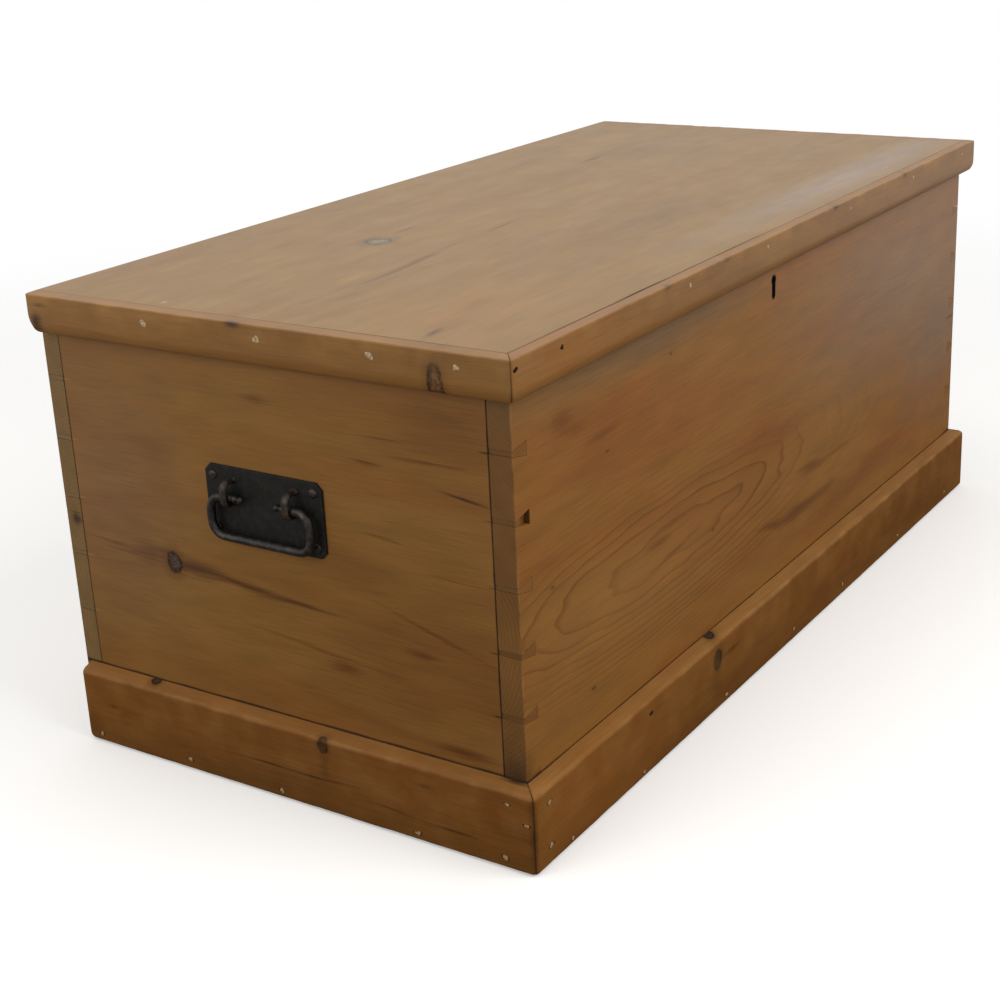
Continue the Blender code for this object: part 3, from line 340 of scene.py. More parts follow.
    # Satin wax, duller on the bare inside and under dirt
    sheen = add(tree, "MapRange", {0: scuff, 1: 0.3, 2: 0.7, 3: gloss - SHEEN_VARIES,
                                   4: gloss + SHEEN_VARIES})[0]
    sheen = add(tree, "Math", {0: inward, 1: DULL_INSIDE, 2: sheen}, operation="MULTIPLY_ADD")[0]
    matt = 0.0
    for dirt in dull:
        matt = add(tree, "Math", {0: matt, 1: dirt}, operation="MAXIMUM")[0]
    sheen = add(tree, "Math", {0: matt, 1: DULL_DIRT, 2: sheen}, operation="MULTIPLY_ADD")[0]
    tree.links.new(sheen, shader.inputs["Roughness"])
    shader.inputs["Specular IOR Level"].default_value = shine
    relief = add(tree, "Math", {0: late_wood, 1: 0.5, 2: fibre}, operation="MULTIPLY_ADD")[0]
    bump = add(tree, "Bump", {"Height": relief, "Strength": 0.25, "Distance": GRAIN_RELIEF})[0]
    tree.links.new(bump, shader.inputs["Normal"])
    return material


# Early wood, late wood, flush, bare wood and end grain
FRONT_TONES = ("#8D602A", "#663408", "#8A5222", "#A5875C", "#6C4D29")
BACK_TONES = ("#8D602A", "#6C4A22", "#8A5222", "#A5875C", "#7A6340")
END_TONES = ("#88602E", "#5A330F", "#7F4C20", "#A5875C", "#865A29")
LID_TONES = ("#926F3B", "#6C4B1C", "#876231", "#A5875C", "#6B4F30")
EDGING_TONES = ("#876031", "#66411A", "#835426", "#A5875C", "#6B4722")
PLINTH_TONES = ("#7C5022", "#522F12", "#764419", "#8A6A42", "#4A2F15")
BARE_TONES = ("#8F7048", "#70522F", "#8C6840", "#A98A5E", "#6E5334")
STRIP_TONE = "#624728"      # end grain in the front corners of the case
REAR_STRIP_TONE = "#746040"
FRONTWARD, BACKWARD = (0, -1, 0), (0, 1, 0)
LEFTWARD, RIGHTWARD = (-1, 0, 0), (1, 0, 0)
UPWARD, DOWNWARD = (0, 0, 1), (0, 0, -1)


def on_front(x, z):
    return (x, CASE_FRONT, z)


def on_left(y, z):
    return (-CASE_END, y, z)


def on_right(y, z):
    return (CASE_END, y, z)


def on_lid(x, y):
    return (x, y, LID_TOP)


def marked(place, rows):
    """Marks on a face, from rows of its two places there, length, width, tilt, tone and strength."""
    return [(place(a, b), (length, width), tilt, tone, strength)
            for a, b, length, width, tilt, tone, strength in rows]


PINS = (0.3595, 0.3029, 0.2463, 0.1897, 0.1331)
CHIPPED_PIN = PINS[1]
SAW_MARK = (0.009, 0.0014)
FRONT_DENTS = (-0.268, -0.155, 0.091, 0.283)
SIDE_DENT = 0.010
DENT_MARK = (0.010, 0.0050, 0.0060)
DENT_HEIGHT = LID_TOP - 0.001
CORNER_MARK = (0.0085, 0.0550)
CORNER_DIRT = 0.7
MITRE_PLACE = 0.5150        # the plinth's mitres, from the middle of the front
# The ends' dark lines: grime along the dovetails and the plinth, and last a painted shadow band under the lid's
# edging
END_SEAMS_AND_SHADOWS = [(Y, FRONT_INSIDE, 0.0016, 0.9), (Y, BACK_INSIDE, 0.0014, 0.75),
             (Z, PLINTH_HIGH.z, 0.0026, 0.85), (Z, EDGING_LOW.z, 0.0045, 0.45)]
END_BANDS = [(Y, (CASE_FRONT + FRONT_INSIDE) / 2, (FRONT_INSIDE - CASE_FRONT) / 2, STRIP_TONE, 0.8),
             (Y, (CASE_BACK + BACK_INSIDE) / 2, (CASE_BACK - BACK_INSIDE) / 2, REAR_STRIP_TONE, 0.8)]
FRONT_PINE = pine(
    "waxed_pine_front", X, FRONTWARD, (-0.25, CASE_FRONT + 0.0986, 0.198), 6.0, 0.0034, FRONT_TONES,
    depth=1.1, faint=0.25, mottle=0.7, clear=(on_front(-0.27, 0.182), (0.34, 0.085)),
    marks=marked(on_front, [
        # The first two marks are painted reflection: a grey veil of sheen over the upper right of the front
        (0.29, 0.31, 0.42, 0.16, 0, "#867464", 0.5), (0.44, 0.21, 0.2, 0.13, 0, "#7E6C58", 0.6),
        (-0.33, 0.185, 0.33, 0.075, 0, HONEY, 0.6), (-0.056, 0.24, 0.15, 0.045, 0, RED, 0.55),
        (-0.29, 0.392, 0.34, 0.028, 0, GREY, 0.7), (-0.427, 0.363, 0.02, 0.016, 0, RUSSET, 0.5),
        (-0.408, 0.352, 0.024, 0.011, 0, RUSSET, 0.5), (-0.36, 0.335, 0.05, 0.006, 0, RUSSET, 0.5),
        (-0.03, 0.1345, 0.055, 0.0075, 0.2, STREAK, 0.7), (0.055, 0.129, 0.14, 0.009, 0, STREAK, 0.7),
        (0.065, 0.168, 0.055, 0.0075, 0.14, STREAK, 0.6), (0.13, 0.164, 0.11, 0.006, 0, STREAK, 0.5),
        (0.18, 0.115, 0.3, 0.03, 0, WARM, 0.5), (-0.235, 0.186, 0.07, 0.004, -0.1, STREAK, 0.6),
        (-0.268, 0.204, 0.036, 0.006, 0, STREAK, 0.5), (0.488, 0.228, 0.018, 0.0012, 0, GRIME_AND_SHADOW, 0.9),
        (-0.243, 0.372, 0.005, 0.0022, 0, RESIN, 0.8), (-0.357, 0.318, 0.005, 0.002, 0, RESIN, 0.6),
        (-0.391, 0.114, 0.006, 0.0024, 0, RESIN, 0.8), (-0.45, 0.231, 0.005, 0.002, 0, RESIN, 0.7),
        (-0.163, 0.178, 0.005, 0.002, 0, RESIN, 0.7)])
    + [((-CASE_END, CASE_FRONT + 0.011, PLINTH_HIGH.z), (0.02, 0.04, 0.04), 0, GRIME_AND_SHADOW, 0.75)],
    # The last line is painted shadow under the lid's edging; the others are grime in the joints
    seams_and_shadows=[(Y, FRONT_INSIDE, 0.0009, 0.8), (Z, PLINTH_HIGH.z, 0.0014, 0.7), (Z, EDGING_LOW.z, 0.0009, 0.6)])
LEFT_PINE = pine(
    "waxed_pine_left_end", Y, LEFTWARD, (-CASE_END + 0.06, -0.33, 0.19), 9.0, 0.0036, END_TONES,
    depth=0.3, faint=0.15, clear=(on_left(-0.15, 0.14), (0.16, 0.045)),
    knots=[(on_left(0.1209, 0.202), (0.009, 0.011), "#5E4A3E", BARK)],
    marks=marked(on_left, [
        (-0.17, 0.15, 0.26, 0.13, 0, WARM, 0.5), (-0.2, 0.37, 0.13, 0.05, 0, WARM, 0.55),
        (-0.08, 0.24, 0.09, 0.035, 0, WARM, 0.4), (0.13, 0.3, 0.04, 0.04, 0, WARM, 0.35),
        (0.15, 0.204, 0.036, 0.015, 0, DARK_RED, 0.65), (0.196, 0.208, 0.06, 0.0034, 0.08, STREAK, 0.8),
        (0.182, 0.202, 0.046, 0.0026, 0.06, STREAK, 0.7), (0.1, 0.2012, 0.05, 0.017, 0.08, DARK_RED, 0.9),
        (0.042, 0.1958, 0.072, 0.0065, 0.09, RESIN, 0.9), (-0.032, 0.1892, 0.058, 0.0034, 0.06, RESIN, 0.7),
        (-0.203, 0.315, 0.034, 0.002, 0.137, BARK, 0.8), (-0.107, 0.3315, 0.022, 0.0026, 0.05, STREAK, 0.7),
        (-0.163, 0.3404, 0.06, 0.0022, 0, STREAK, 0.7), (-0.126, 0.3546, 0.03, 0.0022, 0, STREAK, 0.6),
        (-0.12, 0.2675, 0.03, 0.0024, 0.1, STREAK, 0.6), (-0.19, 0.243, 0.05, 0.0022, 0.05, STREAK, 0.5),
        (-0.161, 0.192, 0.09, 0.003, 0.29, STREAK, 0.6), (-0.03, 0.152, 0.14, 0.0036, 0.1, STREAK, 0.5),
        (-0.177, 0.089, 0.075, 0.007, 0.05, STREAK, 0.85), (-0.07, 0.14, 0.028, 0.0095, 0, STREAK, 0.9),
        (-0.15, 0.17, 0.03, 0.006, 0, STREAK, 0.8), (0.008, 0.371, 0.02, 0.007, 0, STREAK, 0.5),
        (0.19, 0.25, 0.16, 0.22, 0, "#80664E", 0.4)])
    + [((-CASE_END + 0.017, CASE_FRONT, CHIPPED_PIN), (0.02, 0.015, 0.011), 0, GRIME_AND_SHADOW, 0.95)]
    + [(on_left(FRONT_INSIDE + 0.003, height - 0.002), SAW_MARK, 0, GRIME_AND_SHADOW, 0.8) for height in PINS]
    + [(on_left(BACK_INSIDE - 0.003, height), SAW_MARK, 0, PALE_WOOD, 0.6) for height in PINS],
    seams_and_shadows=END_SEAMS_AND_SHADOWS, bands=END_BANDS)
RIGHT_PINE = pine(
    "waxed_pine_right_end", Y, RIGHTWARD, (CASE_END - 0.075, 0.21, 0.235), 8.0, 0.0034, END_TONES,
    depth=0.5, faint=0.3, clear=(on_right(0.1, 0.24), (0.2, 0.06)),
    knots=[(on_right(-0.105, 0.165), (0.009, 0.008), KNOT, BARK)],
    marks=marked(on_right, [(-0.03, 0.163, 0.12, 0.004, 0.03, RESIN, 0.7)]),
    seams_and_shadows=END_SEAMS_AND_SHADOWS, bands=END_BANDS)
BACK_PINE = pine(
    "waxed_pine_back", X, BACKWARD, (0.18, CASE_BACK - 0.085, 0.11), 7.0, 0.0032, BACK_TONES, gloss=0.5,
    knots=[((0.235, CASE_BACK, 0.318), (0.011, 0.009), KNOT, BARK),
           ((-0.29, CASE_BACK, 0.15), (0.009, 0.008), KNOT, BARK)],
    marks=[((-CASE_END, 0.24, 0.223), (0.02, 0.008, 0.008), 0, BARK, 0.8)],
    seams_and_shadows=[(Y, BACK_INSIDE, 0.0008, 0.6)])
LID_PINE = pine(
    "waxed_pine_lid", X, UPWARD, (-0.1, -0.08, LID_TOP - 0.15), 9.0, 0.004, LID_TONES,
    depth=0.4, faint=0.4, mottle=0.6, shine=0.26, clear=(on_lid(-0.22, -0.005), (0.22, 0.03)),
    knots=[(on_lid(-0.222, 0.0816), (0.015, 0.015), "#96835F", "#4C4337")],
    marks=marked(on_lid, [
        (-0.172, 0.088, 0.042, 0.0052, 0.1, LID_STREAK, 0.8),
        (-0.252, 0.078, 0.018, 0.006, 0.1, "#7A4A30", 0.5),
        (-0.295, -0.0065, 0.11, 0.0085, 0.1, LID_STREAK, 0.8),
        (-0.115, 0.0078, 0.05, 0.0055, 0.06, LID_STREAK, 0.75),
        (-0.352, 0.012, 0.04, 0.01, 0.1, "#B58A50", 0.45), (-0.37, -0.024, 0.15, 0.014, 0, "#755628", 0.4),
        (0.25, 0.1165, 0.06, 0.005, 0.05, LID_STREAK, 0.7), (0.248, 0.1165, 0.018, 0.0075, 0, RESIN, 0.6),
        # The first mark below is painted reflection: a grey band of sheen along the lid's front edge
        (0.26, -0.209, 0.52, 0.052, 0, "#9A8676", 0.8), (0, -0.12, 0.26, 0.07, 0, "#78562F", 0.6),
        (0.38, 0.09, 0.2, 0.08, 0, "#8A6840", 0.4), (-0.42, -0.15, 0.2, 0.09, 0, HONEY, 0.5),
        (-0.088, -0.0585, 0.007, 0.005, 0, RESIN, 0.7), (-0.488, 0.1095, 0.006, 0.004, 0, "#C0A884", 0.7),
        (-0.475, -0.162, 0.018, 0.0042, 0.1, RESIN, 0.7),
        (-0.33, LID_BOARD_LOW.y, 0.36, 0.003, 0, GRIME_AND_SHADOW, 0.9),
        (LID_BOARD_LOW.x, -0.15, 0.0016, 0.2, 0, GRIME_AND_SHADOW, 0.7)]),
    seams_and_shadows=[(Y, LID_BOARD_LOW.y, 0.0007, 0.5)])
# top_light paints the faces that look up paler, as if lit from above
EDGING_LOOK = {"stretch": 25.0, "ring": 0.0026, "tones": EDGING_TONES, "depth": 0.4, "top_light": 0.25}
EDGING_PINE = {"front": pine(
    "waxed_pine_front_edging", X, FRONTWARD, (0.1, CASE_FRONT + 0.03, LID_TOP - 0.06), **EDGING_LOOK,
    marks=marked(on_front, [(-0.43, LID_TOP - 0.02, 0.2, 0.05, 0, LIGHT, 0.85)])
    + [((dent, EDGING_LOW.y, DENT_HEIGHT), DENT_MARK, 0, BARK, 0.8) for dent in FRONT_DENTS])}
EDGING_PINE["left"] = pine(
    "waxed_pine_left_edging", Y, LEFTWARD, (0, 0.05, LID_TOP - 0.075), **EDGING_LOOK,
    knots=[(on_left(-0.1897, LID_TOP - 0.028), (0.0076, 0.0155), "#7C5530", BARK)],
    marks=marked(on_left, [(0.234, LID_TOP - 0.0085, 0.014, 0.0052, 0, BARK, 0.95),
                           (0.241, LID_TOP - 0.024, 0.011, 0.016, 0, BARK, 0.95)])
    + [((SIDE_EDGING_LOW.x, SIDE_DENT, DENT_HEIGHT), DENT_MARK, 0, BARK, 0.8)])
EDGING_PINE["right"] = pine(
    "waxed_pine_right_edging", Y, RIGHTWARD, (0, -0.05, LID_TOP - 0.08), **EDGING_LOOK)
PLINTH_LOOK = {"stretch": 22.0, "ring": 0.003, "tones": PLINTH_TONES, "depth": 0.5, "gloss": 0.5}
PLINTH_PINE = {"front": pine(
    "waxed_pine_front_plinth", X, FRONTWARD, (0.15, CASE_FRONT + 0.04, 0.02),
    **PLINTH_LOOK, shine=0.05, top_light=0.42,
    knots=[((-0.184, PLINTH_LOW.y, 0.0535), (0.009, 0.012, 0.012), "#3E2812", "#120A05"),
           ((-0.18, CASE_FRONT - 0.003, 0.0765), (0.0062, 0.005, 0.0052), KNOT, BARK)],
    marks=marked(on_front, [
        # The first mark is painted shade: a dark band along the foot, darker towards the floor
        (-0.15, 0, 0.8, 0.06, 0, "#4E2A0A", 0.45), (-0.42, 0.04, 0.22, 0.08, 0, "#8F5A26", 0.55),
        (0.33, 0.03, 0.26, 0.07, 0, "#5E3A16", 0.5), (-0.155, 0.0525, 0.05, 0.0045, 0, RESIN, 0.7),
        (-0.19, 0.03, 0.022, 0.022, 0, BARK, 0.35)])
    + [(on_front(mitre, 0.04), CORNER_MARK, 0, GRIME_AND_SHADOW, CORNER_DIRT) for mitre in (-MITRE_PLACE, MITRE_PLACE)],
    seams_and_shadows=[(Y, CASE_FRONT, 0.001, 0.9)])}
PLINTH_PINE["left"] = pine(
    "waxed_pine_left_plinth", Y, LEFTWARD, (0, -0.1, 0.01), **PLINTH_LOOK, shine=0.1, top_light=0.3,
    knots=[((SIDE_PLINTH_LOW.x, -0.0455, 0.0675), (0.0054, 0.0074, 0.0052), "#3A2012", "#160C06"),
           ((-CASE_END - 0.003, 0.1595, 0.0765), (0.0062, 0.0048, 0.0052), KNOT, BARK)],
    # Painted shade: a dark band along the foot, darker towards the floor
    marks=marked(on_left, [(0, 0, 0.7, 0.06, 0, "#4A2A0C", 0.4)])
    + [((-CASE_END, CASE_FRONT + 0.01, PLINTH_HIGH.z), (0.02, 0.006, 0.006), 0, GRIME_AND_SHADOW, 0.9)]
    + marked(on_left, [
        (-0.045, 0.046, 0.009, 0.016, 0, BARK, 0.4), (0.025, 0.0325, 0.044, 0.0019, 0, GRIME_AND_SHADOW, 0.7),
        (-0.022, 0.0322, 0.034, 0.002, 0, GRIME_AND_SHADOW, 0.8), (-0.062, 0.0338, 0.036, 0.0018, -0.04, GRIME_AND_SHADOW, 0.6),
        (-0.118, 0.024, 0.032, 0.0018, 0.08, GRIME_AND_SHADOW, 0.6), (-0.175, 0.021, 0.06, 0.002, 0, GRIME_AND_SHADOW, 0.7),
        (0.208, 0.043, 0.01, 0.004, 0, RESIN, 0.6), (-0.152, 0.0557, 0.014, 0.003, 0, RESIN, 0.6)])
    + [(on_left(CASE_FRONT - 0.015, 0.04), CORNER_MARK, 0, GRIME_AND_SHADOW, CORNER_DIRT)])
PLINTH_PINE["right"] = pine(
    "waxed_pine_right_plinth", Y, RIGHTWARD, (0, 0.08, 0.015), **PLINTH_LOOK, shine=0.1, top_light=0.3,
    knots=[((-SIDE_PLINTH_LOW.x, 0.09, 0.042), (0.008, 0.009, 0.009), "#4A3018", BARK)])
BOTTOM_PINE = pine("bare_pine_bottom", X, DOWNWARD, (0.1, 0.0, -0.10), 12.0, 0.0038, BARE_TONES, gloss=0.7)


DENT_RELIEF = 0.0006
RUBBED_IRON = 0.8
RUST_METALLIC = 0.1


def metal(name, tone, worn_tone, rust_tone, roughness, metallic, dent_size, rust, shine=0.5):
    """Old iron or steel: uneven black scale, rubbed brighter on high edges, with brown rust in places."""
    material, tree, shader, place = new_material(name)
    dents, grit, patches = [
        add(tree, "TexNoise", {"Vector": place["Object"], "Scale": finer / dent_size, "Detail": detail,
                               "Roughness": uneven})["Fac"]
        for finer, detail, uneven in ((1, 3.0, 0.5), (8, 5.0, 0.7), (0.45, 5.0, 0.5))]
    rub = add(tree, "MapRange", {0: dents, 1: 0.48, 2: 0.75, 3: 0.0, 4: RUBBED_IRON})[0]
    brown = add(tree, "MapRange", {0: patches, 1: 0.52, 2: 0.70, 3: 0.0, 4: rust}, **SMOOTH)[0]
    tint = linear(tone)
    for share, over in ((rub, worn_tone), (brown, rust_tone)):
        tint = add(tree, "Mix", {FACTOR: share, FIRST: tint, SECOND: linear(over)}, data_type="RGBA")[MIXED]
    tree.links.new(tint, shader.inputs["Base Color"])
    bare = add(tree, "MapRange", {0: brown, 3: metallic, 4: RUST_METALLIC})[0]
    tree.links.new(bare, shader.inputs["Metallic"])
    rough = add(tree, "MapRange", {0: grit, 1: 0.3, 2: 0.7, 3: roughness - 0.1, 4: roughness + 0.12})[0]
    tree.links.new(rough, shader.inputs["Roughness"])
    shader.inputs["Specular IOR Level"].default_value = shine
    relief = add(tree, "Math", {0: grit, 1: 0.25, 2: dents}, operation="MULTIPLY_ADD")[0]
    bump = add(tree, "Bump", {"Height": relief, "Strength": 0.5, "Distance": DENT_RELIEF})[0]
    tree.links.new(bump, shader.inputs["Normal"])
    return material


PLATE_IRON = metal("blackened_wrought_iron", "#0F0F0D", "#242320", "#2A1F19", 0.55, 0.1, 0.006, 0.3, 0.2)
BAIL_IRON = metal("hand_rubbed_iron", "#1F1D1A", "#46413B", "#32251A", 0.40, 0.6, 0.005, 0.5)
RUSTY_IRON = metal("rusty_wrought_iron", "#1E1914", "#4A3F35", "#432D1D", 0.45, 0.4, 0.004, 0.7, 0.4)
STEEL = metal("dull_lock_steel", "#7E7B74", "#A29E95", "#5A3C26", 0.40, 0.9, 0.010, 0.3)


PIT_SIZE = 0.0025
PIT_RELIEF = 0.0004
PIT_DIRT = 0.7


def putty(name, tone, dark_tone):
    """Chalky stopping pressed over a nail head: matt, with dirt caught in its pits."""
    material, tree, shader, place = new_material(name)
    pits = add(tree, "TexNoise", {"Vector": place["Object"], "Scale": 1 / PIT_SIZE, "Detail": 4.0})["Fac"]
    dirty = add(tree, "MapRange", {0: pits, 1: 0.45, 2: 0.65, 3: 0.0, 4: PIT_DIRT})[0]
    tint = add(tree, "Mix", {FACTOR: dirty, FIRST: linear(tone), SECOND: linear(dark_tone)},
               data_type="RGBA")[MIXED]
    tree.links.new(tint, shader.inputs["Base Color"])
    shader.inputs["Roughness"].default_value = 0.8
    shader.inputs["Specular IOR Level"].default_value = 0.1
    bump = add(tree, "Bump", {"Height": pits, "Strength": 0.4, "Distance": PIT_RELIEF})[0]
    tree.links.new(bump, shader.inputs["Normal"])
    return material


PALE_PUTTY = putty("pale_nail_stopping", "#C3AE8C", "#7A5F40")
DIRTY_PUTTY = putty("dirty_nail_stopping", "#B0966C", "#4A3520")
# Partly painted shade: a nearly flush dark patch stands for the hollow of an open nail hole, with dirt in it
DARK_HOLE = putty("dirt_and_shade_in_nail_hole", "#2A1B10", "#140D08")
# Partly painted shade: the dark round each plinth nail stands for the shade in its gouge as well as bruised wood
BRUISED_AND_SHADED = putty("bruised_and_shaded_pine", "#50331A", "#38230F")


# Pieces

def finish_piece(name, solid, material, body, slot, *nodes):
    """A piece from a finished bmesh. It rides on a body and stands for the named solids."""
    bmesh.ops.recalc_face_normals(solid, faces=solid.faces)
    mesh = bpy.data.meshes.new(name)
    solid.to_mesh(mesh)
    solid.free()
    mesh.materials.append(material)
    mesh.shade_smooth()
    mesh.set_sharp_from_angle(angle=SHARP_ANGLE)
    piece = bpy.data.objects.new(name, mesh)
    collection.objects.link(piece)
    flats = piece.modifiers.new("true_flats", "WEIGHTED_NORMAL")
    flats.keep_sharp = True
    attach(piece, body)
    if nodes:
        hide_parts(*nodes)


def close_ends(solid):
    """Fills a piece's open ends."""
    bmesh.ops.holes_fill(solid, edges=[edge for edge in solid.edges if edge.is_boundary])


def pull(solid, faces, height):
    """Draws faces out along Z, with walls behind them."""
    drawn = bmesh.ops.extrude_face_region(solid, geom=faces)["geom"]
    drawn = [vertex for vertex in drawn if isinstance(vertex, bmesh.types.BMVert)]
    bmesh.ops.translate(solid, verts=drawn, vec=(0, 0, height))


def on_corner(spot):
    """True on an outer upright corner of the case, which is rounded over more than the other edges."""
    from_corner = min(abs(spot.y - CASE_FRONT), abs(spot.y - CASE_BACK))
    return abs(abs(spot.x) - CASE_END) < NEAR and from_corner < NEAR


def in_joint(spot):
    """True in the dovetails and on the lid's glued joint, where edges were planed flush and never eased."""
    in_corner = spot.y < FRONT_INSIDE + NEAR or spot.y > BACK_INSIDE - NEAR
    return abs(spot.y - LID_JOINT) < NEAR_JOINT or (in_corner and abs(spot.x) > DOVETAIL_INSIDE)


def close_joint(solid):
    """Draws the lid's two boards together to a hairline."""
    for vertex in solid.verts:
        if abs(vertex.co.y - LID_JOINT) < NEAR_JOINT:
            vertex.co.y += (LID_JOINT - vertex.co.y) * JOINT_CLOSES


CHIP_DEPTH = 0.005
PIN_HALF = 0.009            # a pin lies within this of its middle
PIN_TIP = 0.010             # and its tip past this from the end of the case


def chip(solid):
    """Breaks the inner end of one pin away on the front."""
    for vertex in solid.verts:
        in_pin = abs(vertex.co.z - CHIPPED_PIN) < PIN_HALF and vertex.co.x > -CASE_END + PIN_TIP
        if in_pin and vertex.co.y < CASE_FRONT + NEAR:
            vertex.co.y += CHIP_DEPTH


def dress(node, width, material, body, slot, shape=None):
    """A copy of a solid with its flat faces made whole and its outer edges rounded over."""
    solid = bmesh.new()
    arris = solid.faces.layers.float.new("arris")
    solid.from_mesh(frame["nodes"][node].data)
    bmesh.ops.remove_doubles(solid, verts=solid.verts, dist=MERGE)
    bmesh.ops.dissolve_limit(solid, angle_limit=FLAT_ANGLE, verts=solid.verts, edges=solid.edges)
    if shape:
        shape(solid)
    for reach, outer in ((CORNER_ARRIS, True), (width, False)):
        sharp = [edge for edge in solid.edges if edge.is_manifold
                 and edge.calc_face_angle_signed(0) > SHARP_ANGLE
                 and all(on_corner(vertex.co) if outer else not in_joint(vertex.co)
                         for vertex in edge.verts)]
        rounds = bmesh.ops.bevel(solid, geom=sharp, offset=reach, offset_type="OFFSET", segments=ARRIS_STEPS,
                                 profile=0.5, affect="EDGES", material=-1, clamp_overlap=True)
        for face in rounds["faces"]:
            face[arris] = 1.0
    finish_piece(node + "_dressed", solid, material, body, slot, node)


def rounded(corners, steps=6):
    """An outline from corners of (a, b, reach), each rounded over from that far on either side."""
    points = []
    for number, corner in enumerate(corners):
        spot = Vector(corner[:2])
        reach = corner[2]
        if not reach:
            points.append(spot)
            continue
        before = Vector(corners[number - 1][:2])
        after = Vector(corners[(number + 1) % len(corners)][:2])
        start = spot + (before - spot).normalized() * reach
        end = spot + (after - spot).normalized() * reach
        for step in range(steps + 1):
            t = step / steps
            points.append(start * (1 - t) ** 2 + spot * 2 * t * (1 - t) + end * t ** 2)
    return points


STRIP_STEPS = {"front": 170, "left": 90, "right": 90}
END_STEPS = 8               # of these, at each end
MITRE_GAP = 0.0004          # the mitres are eased by this much
MITRE_GRIME = 0.9
GRIME_FADE = 0.45           # at each step from a mitre
WEAR_REACH = 0.0035
WEAR_DEPTH = 0.0007
WEAR_SIZE = 0.012
DENT_SIZE = 0.004


def strip(side, outline, arrises, slope, corner, worn_end, back, dents=()):
    """A strip along one side of the case, of an outline of (outward, height), mitred at the front corners.

    The arrises are places on the outline that are worn, and a dent is (place along, depth). The mitred
    corners are rounded in plan. At the back the strip is worn off by (length, from its face, from below).
    """
    steps = STRIP_STEPS[side]
    solid = bmesh.new()
    worn = solid.verts.layers.float.new("arris")
    grime = solid.verts.layers.float.new("grime")
    ring = [solid.verts.new((0, point.x, point.y)) for point in outline]
    edges = [solid.edges.new(pair) for pair in zip(ring, ring[1:] + ring[:1])]
    bmesh.ops.spin(solid, geom=ring + edges, cent=(0, 0, 0), axis=(1, 0, 0), dvec=(1, 0, 0), angle=0,
                   steps=steps)
    close_ends(solid)
    middle = sum(outline, Vector((0, 0))) / len(outline)
    inner = min(point.x for point in outline)
    thick = max(point.x for point in outline) - inner
    top = max(point.y for point in outline)
    tall = top - min(point.y for point in outline)

    def mitred(point, step):
        """A point's outward, height and distance from its end, some steps from a mitre."""
        angle = math.pi / 4 * (1 + min(step / END_STEPS, 1))
        outward = inner + (point.x - inner) * (1 - corner * (1 - math.sin(angle)) / thick)
        return outward, point.y, corner * (math.cos(math.pi / 4) - math.cos(angle))

    def worn_off(point, step):
        """The same, some steps from the end at the back."""
        angle = math.pi / 2 * (1 - min(step / END_STEPS, 1))
        length, narrowing, rise = worn_end
        outward = inner + (point.x - inner) * (1 - narrowing * (1 - math.cos(angle)) / thick)
        height = top - (top - point.y) * (1 - rise * (1 - math.cos(angle)) / tall)
        return outward, height, length * (1 - math.sin(angle))

    for vertex in solid.verts:
        number = round(vertex.co.x)
        point = Vector(vertex.co.yz)
        mitre = mitred(point, 0)[0] * slope
        if side == "front":
            finish, start, end = mitred, -CASE_END - mitre, CASE_END + mitre
        else:
            finish, start, end = worn_off, CASE_FRONT - mitre, back
        outward, height, from_start = mitred(point, number)
        from_end = finish(point, steps - number)[2]
        if number > steps / 2:
            outward, height, from_end = finish(point, steps - number)
        along = min(max((number - END_STEPS) / (steps - 2 * END_STEPS), 0), 1)
        run = (start + from_start) * (1 - along) + (end - from_end) * along
        near = min((point - spot).length for spot in arrises)
        wear = math.exp(-(near / WEAR_REACH) ** 2)
        vertex[worn] = wear
        rub = 0.5 + 0.5 * noise.fractal(Vector((run, outward, height + len(side))) / WEAR_SIZE, 0.8, 2.0, 4)
        depth = WEAR_DEPTH * max(rub, 0)
        for place, dent in dents:
            depth += dent * math.exp(-((run - place) / DENT_SIZE) ** 2)
        depth *= wear
        from_mitre = min(number, steps - number) if side == "front" else number
        vertex[grime] = MITRE_GRIME * GRIME_FADE ** from_mitre
        if from_mitre == 0:
            depth += MITRE_GAP
        inward = (middle - point).normalized() * depth
        outward += inward.x
        height += inward.y
        if side == "front":
            vertex.co = (run, CASE_FRONT - outward, height)
        else:
            vertex.co = ((-CASE_END - outward) if side == "left" else (CASE_END + outward), run, height)
    return solid


PLINTH_OUTER = PLINTH_HIGH.y - PLINTH_LOW.y + JOINT_GAP - WORN
PLINTH_SHOULDER = 0.0045
PLINTH_ROUND = 0.0035
PLINTH_FOOT = 0.005
PLINTH_INNER_ROUND = 0.0005
PLINTH_CORNER = 0.005
PLINTH_END = (0.005, 0.0015, 0.005)


def plinth():
    """Three boards with a sloped and rounded top, scuffed along the floor and at the corners."""
    top = PLINTH_HIGH.z
    shoulder = top - PLINTH_SHOULDER
    corners = [(JOINT_GAP, 0, 0), (PLINTH_OUTER, 0, PLINTH_FOOT), (PLINTH_OUTER, shoulder, PLINTH_ROUND),
               (JOINT_GAP, top, PLINTH_INNER_ROUND)]
    arrises = [Vector((PLINTH_OUTER, 0)), Vector((PLINTH_OUTER, shoulder))]
    for side, material in PLINTH_PINE.items():
        solid = strip(side, rounded(corners), arrises, 1.0, PLINTH_CORNER, PLINTH_END, SIDE_PLINTH_HIGH.y)
        finish_piece("plinth_board_" + side, solid, material, "case", "pine_plinth", "plinth_" + side)


